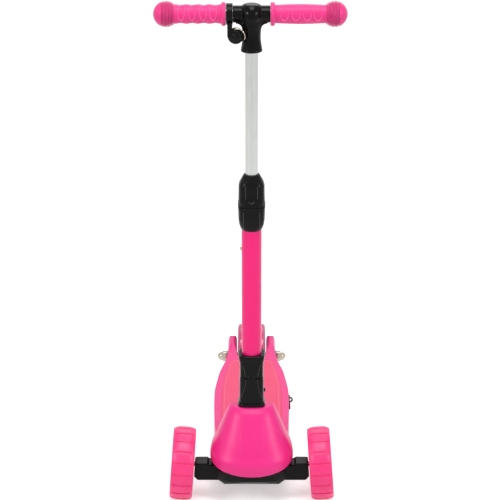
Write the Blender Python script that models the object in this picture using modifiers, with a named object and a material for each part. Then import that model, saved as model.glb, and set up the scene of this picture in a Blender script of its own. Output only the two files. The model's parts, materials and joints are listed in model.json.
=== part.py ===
"""Kids electric scooter with two leaning front wheels, a hub motor at the rear and a folding stem.

Metres, +Z up. The scooter faces -Y and its rider's left hand is at +X. The origin is on the ground,
under the middle of the scooter. Positions along the stem are distances from the stem's foot.
"""

import math

import bmesh
import bpy
from mathutils import Matrix, Vector

# Clearances
GAP = 0.0003
RUNNING_GAP = 0.0005

# Wheels and stance
WHEELBASE = 0.412
FRONT_WHEEL_RADIUS = 0.060
FRONT_WHEEL_WIDTH = 0.037
FRONT_TRACK = 0.2252
FRONT_CAMBER = math.radians(4.2)
FRONT_CROWN_RADIUS = 0.020
TREAD_FLAT = 0.0065
TREAD_GROOVES = 20
TREAD_GROOVE_DEPTH = 0.0016
TREAD_GROOVE_WIDTH = 0.0032
FRONT_CORE_RADIUS = 0.043
REAR_WHEEL_RADIUS = 0.053
REAR_WHEEL_WIDTH = 0.042
REAR_CORE_RADIUS = 0.040

# Wheel hardware
BEARING_RADIUS = 0.011
BEARING_WIDTH = 0.007
FRONT_AXLE_RADIUS = 0.004
REAR_AXLE_RADIUS = 0.005
AXLE_NUT_ACROSS_FLATS = 0.017
AXLE_NUT_FLAT_HEIGHT = 0.0085
AXLE_NUT_DOME_HEIGHT = 0.0095
AXLE_WASHER_RADIUS = 0.0105
AXLE_WASHER_THICKNESS = 0.0024

# Deck
DECK_TOP = 0.085
DECK_DEPTH = 0.043
DECK_WALL = 0.003
DECK_FRONT = 0.026
DECK_MIDDLE = 0.172
DECK_FRONT_HALF_WIDTH = 0.056
DECK_HALF_WIDTH = 0.064
EAR_OUTER = 0.0415
EAR_INNER = 0.0264
EAR_LENGTH = 0.020
PANEL_THICKNESS = 0.0022
PANEL_RECESS = 0.0010
PANEL_HALF_WIDTH = 0.0505
PANEL_REAR_HALF_WIDTH = 0.0385
BASE_THICKNESS = 0.0025

# Front body, distances along Y are measured back from the front axle
STEM_FOOT_BACK = 0.028
STEM_FOOT_HEIGHT = 0.157
STEM_LEAN = math.radians(3.0)
BONNET_WALL = 0.0026

# Steering beam
BEAM_DEPTH = 0.026
BEAM_BOTTOM = 0.0345
BEAM_TOP = 0.0655
BEAM_INNER_TOP = 0.063
BEAM_STEP = 0.0725
BEAM_WAIST_BOTTOM = 0.050
BEAM_WAIST_HALF_LENGTH = 0.022
PIVOT_HEIGHT = 0.057
PIVOT_SLOPE = math.radians(45.0)
PIVOT_PIN_RADIUS = 0.005
PIVOT_BOSS_RADIUS = 0.0125
PIVOT_BOSS_LENGTH = 0.022
PIVOT_BUSH_LENGTH = 0.006

# Stem
LOWER_TUBE_RADIUS = 0.016
LOWER_TUBE_WALL = 0.0025
UPPER_TUBE_RADIUS = 0.010
UPPER_TUBE_WALL = 0.0015
SEAM_AT = 0.0505
KNUCKLE_TOP_AT = 0.0886
COLLAR_BOTTOM_AT = 0.2997
COLLAR_SEAM_AT = 0.3402
COLLAR_TOP_AT = 0.3912
TEE_BOTTOM_AT = 0.5877
BAR_AT = 0.6454
TEE_TOP_AT = 0.6618
SNAP_AT = 0.2666
SNAP_RADIUS = 0.0031
HEIGHT_STEP = 0.045
HEIGHT_STEPS = 2

# Handlebar
BAR_RADIUS = 0.011
BAR_WALL = 0.0015
TEE_ARM_RADIUS = 0.0132
TEE_ARM_REACH = 0.0284
BELL_CLAMP_WIDTH = 0.0106
RIGHT_GRIP_END = 0.1497
LEFT_GRIP_END = 0.1459
GRIP_RADIUS = 0.0146
GRIP_FLANGE_RADIUS = 0.0182
GRIP_BALL_RADIUS = 0.0199
GRIP_CORE_RADIUS = 0.0126

Y_FRONT = FRONT_WHEEL_RADIUS - (WHEELBASE + FRONT_WHEEL_RADIUS + REAR_WHEEL_RADIUS) / 2
Y_REAR = Y_FRONT + WHEELBASE


def clear_scene():
    for obj in list(bpy.data.objects):
        bpy.data.objects.remove(obj, do_unlink=True)


def collection(name):
    made = bpy.data.collections.new(name)
    bpy.context.scene.collection.children.link(made)
    return made


clear_scene()
PARTS = collection("kids_electric_scooter")
CUTTERS = collection("cutters")


def material(name, colour, roughness, metallic=0.0):
    made = bpy.data.materials.new(name)
    made.use_nodes = True
    shader = made.node_tree.nodes["Principled BSDF"]
    shader.inputs["Base Color"].default_value = (*colour, 1.0)
    shader.inputs["Roughness"].default_value = roughness
    shader.inputs["Metallic"].default_value = metallic
    made.diffuse_color = (*colour, 1.0)
    return made


HOT_PINK = material("hot_pink_plastic", (0.85, 0.03, 0.22), 0.35)
PINK_PAINT = material("hot_pink_paint", (0.83, 0.02, 0.19), 0.30)
PINK_GRIP = material("pink_grip_rubber", (0.85, 0.04, 0.26), 0.60)
PINK_MAT = material("coral_grip_mat", (0.90, 0.12, 0.28), 0.75)
PINK_TYRE = material("pink_polyurethane", (0.86, 0.04, 0.24), 0.35)
CLEAR_TYRE = material("pale_pink_polyurethane", (0.80, 0.25, 0.36), 0.30)
BLACK = material("black_plastic", (0.012, 0.012, 0.013), 0.35)
BLACK_RUBBER = material("black_rubber", (0.015, 0.015, 0.015), 0.70)
SILVER = material("anodised_aluminium", (0.55, 0.56, 0.57), 0.30, 1.0)
CHROME = material("chrome", (0.75, 0.75, 0.74), 0.10, 1.0)
STEEL = material("zinc_plated_steel", (0.50, 0.50, 0.50), 0.35, 1.0)
COPPER = material("copper_winding", (0.55, 0.25, 0.10), 0.40, 1.0)
BLUE_SHRINK = material("battery_wrap", (0.02, 0.10, 0.35), 0.50)
CIRCUIT = material("aluminium_controller_case", (0.35, 0.36, 0.37), 0.45, 1.0)
WHITE = material("white_plastic", (0.80, 0.80, 0.80), 0.40)
LAMP = material("red_lamp_lens", (0.60, 0.05, 0.05), 0.20)


# Shape helpers
def add_object(name, mesh, surface=None, place=None, frame=None):
    """Links a mesh as a part, or as a hidden cutter where it has no surface."""
    obj = bpy.data.objects.new(name, mesh)
    if surface is None:
        CUTTERS.objects.link(obj)
        obj.hide_render = True
        obj.display_type = "WIRE"
    else:
        PARTS.objects.link(obj)
        mesh.materials.append(surface)
    if frame is not None:
        obj.parent = frame
    if place is not None:
        obj.matrix_basis = place
    return obj


def at(x=0.0, y=0.0, z=0.0, turn=0.0, about="X"):
    return Matrix.Translation((x, y, z)) @ Matrix.Rotation(turn, 4, about)


def along(start, direction):
    """Places local Z along a direction, starting at a point."""
    turn = Vector(direction).to_track_quat("Z", "Y").to_matrix().to_4x4()
    return Matrix.Translation(start) @ turn


def mesh_from(name, build):
    shape = bmesh.new()
    build(shape)
    bmesh.ops.recalc_face_normals(shape, faces=shape.faces)
    mesh = bpy.data.meshes.new(name)
    shape.to_mesh(mesh)
    shape.free()
    return mesh


def smooth(obj, angle=35.0):
    obj.data.shade_smooth()
    obj.data.set_sharp_from_angle(angle=math.radians(angle))


def box_mesh(name, low, high):
    size = [b - a for a, b in zip(low, high)]
    centre = [(a + b) / 2 for a, b in zip(low, high)]

    def build(shape):
        place = Matrix.Translation(centre) @ Matrix.Diagonal((*size, 1.0))
        bmesh.ops.create_cube(shape, size=1.0, matrix=place)

    return mesh_from(name, build)


def rod_mesh(name, radius, length, sides=24, radius_top=None):
    """A cylinder or cone standing on the local XY plane."""

    def build(shape):
        bmesh.ops.create_cone(
            shape,
            cap_ends=True,
            segments=sides,
            radius1=radius,
            radius2=radius if radius_top is None else radius_top,
            depth=length,
            matrix=Matrix.Translation((0.0, 0.0, length / 2)),
        )

    return mesh_from(name, build)


def turned(name, profile, surface=None, sides=32, closed=False, place=None, frame=None):
    """A profile of (radius, height) points, top to bottom down its outer side, turned about Z."""
    mesh = bpy.data.meshes.new(name)
    edges = [(i, i + 1) for i in range(len(profile) - 1)]
    if closed:
        edges.append((len(profile) - 1, 0))
    mesh.from_pydata([(r, 0.0, z) for r, z in profile], edges, [])
    obj = add_object(name, mesh, surface, place, frame)
    screw = obj.modifiers.new("turn", "SCREW")
    screw.steps = sides
    screw.render_steps = sides
    screw.use_merge_vertices = True
    screw.merge_threshold = 0.00001
    screw.use_smooth_shade = True
    return obj


def bevel(obj, width, segments=2, angle=30.0):
    made = obj.modifiers.new("bevel", "BEVEL")
    made.width = width
    made.segments = segments
    made.limit_method = "ANGLE"
    made.angle_limit = math.radians(angle)
    made.miter_outer = "MITER_ARC"
    return obj


def boolean(obj, other, operation="DIFFERENCE"):
    made = obj.modifiers.new(f"{operation.lower()}_{other.name}", "BOOLEAN")
    made.operation = operation
    made.solver = "EXACT"
    made.object = other
    return obj


def arc(centre, radius, start, end, steps):
    """Points along an arc, with angles in degrees."""
    points = []
    for i in range(steps + 1):
        angle = math.radians(start + (end - start) * i / steps)
        points.append((centre[0] + radius * math.cos(angle), centre[1] + radius * math.sin(angle)))
    return points


def prism_mesh(name, outline, low, high, axis="Z"):
    """A flat outline, anticlockwise, extruded along an axis between two heights."""
    order = {"Z": lambda u, v, w: (u, v, w), "X": lambda u, v, w: (w, u, v)}[axis]

    def build(shape):
        foot = [shape.verts.new(order(u, v, low)) for u, v in outline]
        face = shape.faces.new(foot)
        step = Vector(order(0.0, 0.0, high - low))
        grown = bmesh.ops.extrude_face_region(shape, geom=[face])["geom"]
        moved = [item for item in grown if isinstance(item, bmesh.types.BMVert)]
        bmesh.ops.translate(shape, verts=moved, vec=step)

    return mesh_from(name, build)


def loft_mesh(name, rings, wrap=False, capped="both"):
    """Skins rings of equal point count; wrap joins the last ring to the first."""

    def build(shape):
        rows = [[shape.verts.new(point) for point in ring] for ring in rings]
        count = len(rows[0])
        pairs = list(zip(rows, rows[1:]))
        if wrap:
            pairs.append((rows[-1], rows[0]))
        for lower, upper in pairs:
            for i in range(count):
                j = (i + 1) % count
                shape.faces.new((lower[i], lower[j], upper[j], upper[i]))
        if capped == "both" and not wrap:
            shape.faces.new(list(reversed(rows[0])))
        if not wrap:
            shape.faces.new(rows[-1])

    return mesh_from(name, build)


def rounded_ring(half_x, half_y, power, height, points=24):
    """A superellipse ring at one height."""
    ring = []
    for i in range(points):
        angle = 2 * math.pi * (i + 0.5) / points
        c, s = math.cos(angle), math.sin(angle)
        x = half_x * math.copysign(abs(c) ** (2 / power), c)
        y = half_y * math.copysign(abs(s) ** (2 / power), s)
        ring.append((x, y, height))
    return ring


def mirrored(outline):
    """Closes a half outline at +X with its mirror image; the half runs from front to rear."""
    return outline + [(-x, y) for x, y in reversed(outline)]


def hexagon(across_flats, points=6):
    radius = across_flats / 2 / math.cos(math.pi / points)
    return [
        (radius * math.cos(math.pi * i * 2 / points), radius * math.sin(math.pi * i * 2 / points))
        for i in range(points)
    ]


# Wheels
def bearing(name, place, bore_radius):
    half = BEARING_WIDTH / 2
    inner = bore_radius + GAP
    profile = [(BEARING_RADIUS, half), (BEARING_RADIUS, -half), (inner, -half), (inner, half)]
    return turned(name, profile, STEEL, 20, True, place)


def tread_angles():
    """Turning angles of the tread's stations, each with its share of the groove depth."""
    pitch = 2 * math.pi / TREAD_GROOVES
    half_groove = TREAD_GROOVE_WIDTH / 2 / FRONT_WHEEL_RADIUS
    half_land = pitch / 2 - half_groove
    wall = half_groove * 0.3
    stations = []
    for i in range(TREAD_GROOVES):
        middle = i * pitch + pitch / 4
        stations += [(middle - half_land, 0.0), (middle + half_land, 0.0)]
        stations += [(middle + half_land + wall, 1.0), (middle + pitch - half_land - wall, 1.0)]
    return stations


def front_tyre(name, place):
    half = FRONT_WHEEL_WIDTH / 2
    crown = FRONT_CROWN_RADIUS
    shoulder = half - 0.0012
    rings = []
    for angle, depth in tread_angles():
        section = [(half, FRONT_CORE_RADIUS)]
        drop = crown - math.sqrt(crown**2 - (half - TREAD_FLAT) ** 2)
        section.append((half, FRONT_WHEEL_RADIUS - drop - 0.0012))
        for across in (shoulder, TREAD_FLAT, -TREAD_FLAT, -shoulder):
            slope = abs(across) - TREAD_FLAT
            radius = FRONT_WHEEL_RADIUS - crown + math.sqrt(crown**2 - slope**2)
            if slope == 0:
                radius -= depth * TREAD_GROOVE_DEPTH
            section.append((across, radius))
        section += [(-x, r) for x, r in reversed(section[:2])]
        c, s = math.cos(angle), math.sin(angle)
        rings.append([(r * c, r * s, x) for x, r in section])
    obj = add_object(name, loft_mesh(name, rings, wrap=True), PINK_TYRE, place)
    smooth(obj, 30)
    return obj


def front_hub(name, place):
    """Wheel core: rim, web with spoke windows and a boss that holds two bearings."""
    half = FRONT_WHEEL_WIDTH / 2
    rim = FRONT_CORE_RADIUS * math.cos(math.pi / TREAD_GROOVES) - GAP
    boss = BEARING_RADIUS + 0.003
    bore = BEARING_RADIUS + GAP
    web = 0.004
    reach = half - 0.0015
    lip = 0.0035
    profile = [
        (rim, reach),
        (rim, -reach),
        (rim - lip, -reach),
        (rim - lip, -web),
        (boss, -web),
        (boss, -reach),
        (bore, -reach),
        (bore, reach),
        (boss, reach),
        (boss, web),
        (rim - lip, web),
        (rim - lip, reach),
    ]
    obj = turned(name, profile, PINK_TYRE, 25, True, place)
    spokes = 5
    for i in range(spokes):
        middle = 2 * math.pi * i / spokes
        near, far = boss + 0.004, rim - lip - 0.003
        spread = math.radians(22)
        window = [(near * math.cos(middle - spread), near * math.sin(middle - spread))]
        window += arc((0, 0), far, math.degrees(middle - spread), math.degrees(middle + spread), 3)
        window.append((near * math.cos(middle + spread), near * math.sin(middle + spread)))
        cutter = add_object(f"{name}_window_{i}", prism_mesh(name, window, -2 * web, 2 * web), place=place)
        boolean(obj, cutter)
    return obj


def make_front_wheel(side, sign):
    """One cambered front wheel; local Z runs out along its axle."""
    centre = Vector((sign * FRONT_TRACK / 2, Y_FRONT, FRONT_WHEEL_HEIGHT))
    outward = Vector((sign * math.cos(FRONT_CAMBER), 0.0, math.sin(FRONT_CAMBER)))
    place = Matrix.Translation(centre) @ outward.to_track_quat("Z", "Y").to_matrix().to_4x4()
    front_tyre(f"front_tyre_{side}", place)
    front_hub(f"front_hub_{side}", place)
    spot = FRONT_WHEEL_WIDTH / 2 - 0.0015 - BEARING_WIDTH / 2 - 0.001
    bearing(f"front_bearing_outer_{side}", place @ Matrix.Translation((0, 0, spot)), FRONT_AXLE_RADIUS)
    bearing(f"front_bearing_inner_{side}", place @ Matrix.Translation((0, 0, -spot)), FRONT_AXLE_RADIUS)
    make_front_axle(side, place, spot)


def make_front_axle(side, place, spot):
    """A shouldered axle bolt: its head bears on the outer bearing and its shank runs into the beam."""
    head_foot = spot + BEARING_WIDTH / 2 + GAP
    collar_end = -(spot + BEARING_WIDTH / 2 + GAP)
    head = 0.0070
    shank = FRONT_AXLE_RADIUS
    inner_end = -FRONT_WHEEL_WIDTH / 2 - AXLE_GRIP
    profile = [
        (0.0, head_foot + 0.0048),
        (head - 0.0012, head_foot + 0.0048),
        (head, head_foot + 0.0036),
        (head, head_foot),
        (shank, head_foot),
        (shank, collar_end),
        (head - 0.001, collar_end),
        (head - 0.001, -FRONT_WHEEL_WIDTH / 2),
        (shank, -FRONT_WHEEL_WIDTH / 2),
        (shank, inner_end),
        (0.0, inner_end),
    ]
    obj = turned(f"front_axle_{side}", profile, STEEL, 16, False, place)
    return obj


FACET = math.pi / TREAD_GROOVES / 2 - TREAD_GROOVE_WIDTH / 2 / FRONT_WHEEL_RADIUS
FRONT_WHEEL_HEIGHT = FRONT_WHEEL_RADIUS * math.cos(FRONT_CAMBER) * math.cos(
    FACET
) + TREAD_FLAT * math.sin(FRONT_CAMBER)
REAR_SIDES = 36
REAR_WHEEL_HEIGHT = REAR_WHEEL_RADIUS * math.cos(math.pi / REAR_SIDES)
AXLE_GRIP = 0.016
REAR_PLACE = (
    Matrix.Translation((0, Y_REAR, REAR_WHEEL_HEIGHT))
    @ Matrix.Rotation(math.pi / 2, 4, "Y")
    @ Matrix.Rotation(math.pi / REAR_SIDES, 4, "Z")
)


def make_rear_wheel():
    half = REAR_WHEEL_WIDTH / 2
    core = REAR_CORE_RADIUS
    tyre = [
        (core, half - 0.003),
        (core + 0.003, half),
        (REAR_WHEEL_RADIUS - 0.006, half),
        (REAR_WHEEL_RADIUS - 0.002, half - 0.0018),
        (REAR_WHEEL_RADIUS, half - 0.006),
    ]
    tyre += [(r, -z) for r, z in reversed(tyre)]
    turned("rear_tyre", list(tyre), CLEAR_TYRE, REAR_SIDES, True, REAR_PLACE)

    shell = core - GAP
    wall = 0.003
    face = half - 0.003
    seat = BEARING_RADIUS + GAP
    cup = [
        (shell, face),
        (shell, -face),
        (seat + 0.003, -face),
        (seat, -face),
        (seat, -face + BEARING_WIDTH + GAP),
        (seat + wall, -face + BEARING_WIDTH + GAP),
        (seat + wall, -face + wall),
        (shell - wall, -face + wall),
        (shell - wall, face),
    ]
    turned("motor_shell", cup, STEEL, 30, True, REAR_PLACE)
    cover_edge = shell - wall - GAP
    cover = [
        (cover_edge, face),
        (cover_edge, face - wall),
        (seat + wall, face - wall),
        (seat + wall, face - BEARING_WIDTH - GAP),
        (seat, face - BEARING_WIDTH - GAP),
        (seat, face),
    ]
    turned("motor_cover", cover, STEEL, 30, True, REAR_PLACE)
    middle = face - BEARING_WIDTH / 2
    bearing("rear_bearing_left", REAR_PLACE @ Matrix.Translation((0, 0, middle)), REAR_AXLE_RADIUS)
    bearing("rear_bearing_right", REAR_PLACE @ Matrix.Translation((0, 0, -middle)), REAR_AXLE_RADIUS)

    make_stator(shell - wall - 0.0045, middle - BEARING_WIDTH / 2 - 0.002)
    make_rear_axle(face)


def make_stator(radius, half):
    """Nine slotted poles round a core on the axle."""
    poles = 9
    outline = []
    for i in range(poles):
        middle = 2 * math.pi * i / poles
        pole = math.radians(15.5)
        neck = math.radians(7)
        root = radius * 0.55
        cap = radius - 0.003
        outline.append((root * math.cos(middle - neck * 1.6), root * math.sin(middle - neck * 1.6)))
        outline.append((cap * math.cos(middle - neck), cap * math.sin(middle - neck)))
        outline += arc((0, 0), radius, math.degrees(middle - pole), math.degrees(middle + pole), 3)
        outline.append((cap * math.cos(middle + neck), cap * math.sin(middle + neck)))
        outline.append((root * math.cos(middle + neck * 1.6), root * math.sin(middle + neck * 1.6)))
    obj = add_object("motor_stator", prism_mesh("motor_stator", outline, -half, half), COPPER, REAR_PLACE)
    bore = rod_mesh("stator_bore", REAR_AXLE_RADIUS + GAP, 2 * half + 0.01)
    cutter = add_object("stator_bore", bore, place=REAR_PLACE @ Matrix.Translation((0, 0, -half - 0.005)))
    boolean(obj, cutter)


def make_rear_axle(face):
    """The fixed axle runs through both ears; each end has a washer and a dome nut."""
    thread_end = EAR_OUTER + AXLE_WASHER_THICKNESS + 2 * GAP + AXLE_NUT_FLAT_HEIGHT
    shoulder = face + RUNNING_GAP
    stop = EAR_INNER - GAP
    collar = REAR_AXLE_RADIUS + 0.003
    profile = [
        (0.0, thread_end),
        (REAR_AXLE_RADIUS, thread_end),
        (REAR_AXLE_RADIUS, stop),
        (collar, stop),
        (collar, shoulder),
        (REAR_AXLE_RADIUS, shoulder),
    ]
    profile += [(r, -z) for r, z in reversed(profile)]
    turned("rear_axle", profile, STEEL, 18, False, REAR_PLACE)
    for side, sign in (("left", 1), ("right", -1)):
        out = REAR_PLACE if sign > 0 else REAR_PLACE @ Matrix.Rotation(math.pi, 4, "X")
        washer = [
            (AXLE_WASHER_RADIUS, AXLE_WASHER_THICKNESS),
            (AXLE_WASHER_RADIUS, 0.0),
            (REAR_AXLE_RADIUS + GAP, 0.0),
            (REAR_AXLE_RADIUS + GAP, AXLE_WASHER_THICKNESS),
        ]
        foot = EAR_OUTER + GAP
        turned(f"axle_washer_{side}", washer, BLACK, 20, True, out @ Matrix.Translation((0, 0, foot)))
        nut_place = out @ Matrix.Translation((0, 0, foot + AXLE_WASHER_THICKNESS + GAP))
        make_dome_nut(f"axle_nut_{side}", nut_place)


def make_dome_nut(name, place):
    """Hexagon with chamfered corners under a dome, hollow for the axle's thread."""
    flats = AXLE_NUT_ACROSS_FLATS
    corner = flats / 2 / math.cos(math.pi / 6)
    dome = flats / 2 * 0.93
    top = AXLE_NUT_FLAT_HEIGHT + AXLE_NUT_DOME_HEIGHT
    body = add_object(name, prism_mesh(name, hexagon(flats), 0.0, AXLE_NUT_FLAT_HEIGHT), CHROME, place)
    turn = [(0.0, top)]
    for share in (0.45, 0.75, 0.93):
        turn.append((dome * share, AXLE_NUT_FLAT_HEIGHT + AXLE_NUT_DOME_HEIGHT * math.sqrt(1 - share**2)))
    turn += [(dome, AXLE_NUT_FLAT_HEIGHT), (corner, AXLE_NUT_FLAT_HEIGHT - 0.0012)]
    turn += [(corner, 0.0009), (dome + 0.0006, -0.0001), (0.0, -0.0001)]
    envelope = turned(f"{name}_envelope", turn, None, 18, False, place)
    domed = turned(f"{name}_dome", [*turn[:5], (0.0, AXLE_NUT_FLAT_HEIGHT - 0.001)], None, 18, False, place)
    boolean(body, domed, "UNION")
    boolean(body, envelope, "INTERSECT")
    hole = rod_mesh(f"{name}_bore", REAR_AXLE_RADIUS + GAP, AXLE_NUT_FLAT_HEIGHT + 0.0015, 16)
    boolean(body, add_object(f"{name}_bore", hole, place=place @ Matrix.Translation((0, 0, -0.001))))


# Deck
def back(distance):
    """World Y of a distance behind the front axle."""
    return Y_FRONT + distance


def deck_half_width(distance):
    """The deck widens to its middle, then draws in to the rear fork."""
    if distance < DECK_MIDDLE:
        share = (DECK_MIDDLE - distance) / (DECK_MIDDLE - DECK_FRONT)
        return DECK_HALF_WIDTH - (DECK_HALF_WIDTH - DECK_FRONT_HALF_WIDTH) * share**2
    start = DECK_MIDDLE + DECK_TAPER_DELAY
    end = WHEELBASE - DECK_TAPER_END
    share = min(max((distance - start) / (end - start), 0.0), 1.0)
    return DECK_HALF_WIDTH - (DECK_HALF_WIDTH - EAR_OUTER) * (1 - math.cos(math.pi * share)) / 2


def deck_side(start, end, steps, inset=0.0):
    return [
        (deck_half_width(start + (end - start) * i / steps) - inset, back(start + (end - start) * i / steps))
        for i in range(steps + 1)
    ]


DECK_TAPER_DELAY = 0.023
DECK_TAPER_END = 0.027
SLOT_START = WHEELBASE - REAR_WHEEL_RADIUS - 0.013
EAR_END = WHEELBASE + EAR_LENGTH
CAVITY_END = SLOT_START - 0.010
DECK_BOTTOM = DECK_TOP - DECK_DEPTH
CREST_START = WHEELBASE - 0.060
CREST_RISE = 0.0060
CREST_BULGE = 0.0018
FENDER_GAP = 0.004
FENDER_WALL = 0.0022
FENDER_INNER = REAR_WHEEL_RADIUS + FENDER_GAP
FENDER_HALF_WIDTH = 0.0249
FENDER_LIP = 0.009
FENDER_REAR_ANGLE = 28.0
FENDER_FRONT_ANGLE = 158.0
FENDER_BARREL_RADIUS = 0.004
FENDER_PIN_RADIUS = 0.002
FENDER_PIN_BACK = WHEELBASE - FENDER_INNER - 0.0005
FENDER_PIN_HEIGHT = DECK_TOP - 0.008
FENDER_PIN_BITE = 0.007
SIDE_FITTINGS_HEIGHT = 0.064
POWER_BUTTON_BACK = 0.195
POWER_BUTTON_LENGTH = 0.016
POWER_BUTTON_HEIGHT = 0.009
POWER_BUTTON_PROUD = 0.0018
CHARGE_PORT_BACK = 0.217
CHARGE_PORT_RADIUS = 0.0055
CHARGE_CAP_SIZE = 0.015
CHARGE_CAP_THICKNESS = 0.0018
CHARGE_LIGHT_BACK = 0.244
CHARGE_LIGHT_RADIUS = 0.0020


def side_face(distance):
    """World X of the deck's left wall at a distance behind the front axle."""
    return deck_half_width(distance)


def cut_rod(obj, name, radius, length, place, sides=24):
    """Bores a hole; the place's local Z runs along it."""
    cutter = add_object(name, rod_mesh(name, radius, length, sides), place=place)
    return boolean(obj, cutter)


def make_deck():
    rear = WHEELBASE - DECK_TAPER_END
    half = deck_side(DECK_FRONT, rear, 16)
    half += [(EAR_OUTER, back(WHEELBASE)), (EAR_OUTER, back(EAR_END)), (EAR_INNER, back(EAR_END))]
    half += [(EAR_INNER, back(SLOT_START + 0.010)), (EAR_INNER - 0.010, back(SLOT_START))]
    shell = add_object(
        "deck_shell", prism_mesh("deck_shell", mirrored(half), DECK_BOTTOM, DECK_TOP), HOT_PINK
    )
    bevel(shell, 0.0030, 1, 50.0)
    inside = deck_side(DECK_FRONT + DECK_WALL, CAVITY_END, 16, DECK_WALL)
    cavity = prism_mesh("deck_cavity", mirrored(inside), DECK_BOTTOM - 0.01, DECK_TOP - DECK_WALL)
    boolean(shell, add_object("deck_cavity", cavity))
    recess = prism_mesh("panel_recess", panel_outline(GAP), DECK_TOP - PANEL_RECESS, DECK_TOP + 0.01)
    boolean(shell, add_object("panel_recess", recess))
    for side, sign in (("left", 1), ("right", -1)):
        boolean(shell, add_object(f"ear_crest_{side}", ear_crest_mesh(f"ear_crest_{side}", sign)), "UNION")
    round_ears(shell)
    axle_place = at(-EAR_OUTER - 0.01, Y_REAR, REAR_WHEEL_HEIGHT, math.pi / 2, "Y")
    cut_rod(shell, "axle_hole", REAR_AXLE_RADIUS + GAP, 2 * EAR_OUTER + 0.02, axle_place)
    pin_half = EAR_INNER + FENDER_PIN_BITE
    pin_place = at(-pin_half, back(FENDER_PIN_BACK), FENDER_PIN_HEIGHT, math.pi / 2, "Y")
    cut_rod(shell, "fender_pin_hole", FENDER_PIN_RADIUS + GAP, 2 * pin_half, pin_place, 16)
    side_holes(shell)
    smooth(shell)

    cover = deck_side(DECK_FRONT + DECK_WALL + GAP, CAVITY_END - GAP, 16, DECK_WALL + GAP)
    mesh = prism_mesh("deck_base_cover", mirrored(cover), DECK_BOTTOM, DECK_BOTTOM + BASE_THICKNESS)
    add_object("deck_base_cover", mesh, BLACK)
    foot = DECK_TOP - PANEL_RECESS + GAP
    mat = prism_mesh("grip_panel", panel_outline(0.0), foot, foot + PANEL_THICKNESS)
    bevel(add_object("grip_panel", mat, PINK_MAT), 0.0005, 1, 50.0)


def panel_outline(growth):
    """Grip panel outline: parallel in front, drawn in and rounded at the rear."""
    front, bend, rear = PANEL_FRONT, PANEL_BEND, PANEL_REAR
    wide, narrow, corner = PANEL_HALF_WIDTH + growth, PANEL_REAR_HALF_WIDTH + growth, 0.012
    half = [(wide - 0.003, back(front - growth)), (wide, back(front + 0.003)), (wide, back(bend))]
    for i in range(1, 5):
        share = i / 4
        curve = (1 - math.cos(math.pi / 2 * share)) * 0.6 + share * 0.4
        spot = bend + (rear - corner - bend) * share
        half.append((wide - (wide - narrow) * curve, back(spot)))
    half += [
        (narrow - corner + corner * math.cos(a), back(rear - corner + growth) + corner * math.sin(a))
        for a in (math.radians(30), math.radians(60), math.radians(90))
    ]
    return mirrored(half)


PANEL_FRONT = 0.088
PANEL_REAR = SLOT_START - 0.018
PANEL_BEND = PANEL_REAR - 0.113


def ear_crest_mesh(name, sign):
    """A rounded ridge along the top of one fork ear, rising from the deck."""
    steps = 8
    round_radius = 0.009
    rings = []
    for i in range(steps + 1):
        share = i / steps
        spot = CREST_START + (EAR_END + 0.001 - CREST_START) * share
        rise = min(share / 0.4, 1.0)
        rise = rise * rise * (3 - 2 * rise)
        top = DECK_TOP - 0.0005 + CREST_RISE * rise
        out = EAR_OUTER - 0.0006 + CREST_BULGE * rise
        foot = DECK_TOP - 0.019
        ring = [(EAR_INNER, foot), (EAR_OUTER - 0.0006, foot), (out, foot + 0.007)]
        ring += arc((out - round_radius, top - round_radius), round_radius, 0, 90, 4)
        ring += [(EAR_INNER + 0.0012, top), (EAR_INNER, top - 0.0012)]
        rings.append([(sign * x, back(spot), z) for x, z in ring])
    return loft_mesh(name, rings)


def round_ears(shell):
    """Rounds the rear ends of both ears as seen from the side."""
    radius = 0.018
    crest = DECK_TOP + CREST_RISE
    low, high = DECK_BOTTOM - 0.001, crest + 0.001
    end, far = back(EAR_END), back(EAR_END) + 0.01
    for name, corner_z, sign in (("ear_end_top", crest, 1), ("ear_end_bottom", DECK_BOTTOM, -1)):
        centre = (end - radius, corner_z - sign * radius)
        start, stop = (0.0, 90.0) if sign > 0 else (-90.0, 0.0)
        curve = arc(centre, radius, start, stop, 6)
        if sign > 0:
            outline = [(far, centre[1]), (far, high + 0.01), (centre[0], high + 0.01), *reversed(curve)]
        else:
            outline = [(centre[0], low - 0.01), (far, low - 0.01), (far, centre[1]), *reversed(curve)]
        mesh = prism_mesh(name, outline, -EAR_OUTER - 0.01, EAR_OUTER + 0.01, "X")
        boolean(shell, add_object(name, mesh))


def side_holes(shell):
    """Openings in the left wall for the power button, the charge port and its light."""
    z = SIDE_FITTINGS_HEIGHT
    half_length, half_height = POWER_BUTTON_LENGTH / 2 + GAP, POWER_BUTTON_HEIGHT / 2 + GAP
    y = back(POWER_BUTTON_BACK)
    low = (DECK_HALF_WIDTH - 0.008, y - half_length, z - half_height)
    high = (DECK_HALF_WIDTH + 0.01, y + half_length, z + half_height)
    boolean(shell, add_object("power_button_hole", box_mesh("power_button_hole", low, high)))
    for name, spot, radius in (
        ("charge_port_hole", CHARGE_PORT_BACK, CHARGE_PORT_RADIUS + GAP),
        ("charge_light_hole", CHARGE_LIGHT_BACK, CHARGE_LIGHT_RADIUS + GAP),
    ):
        place = at(DECK_HALF_WIDTH - 0.008, back(spot), z, math.pi / 2, "Y")
        cut_rod(shell, name, radius, 0.02, place, 20)


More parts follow.
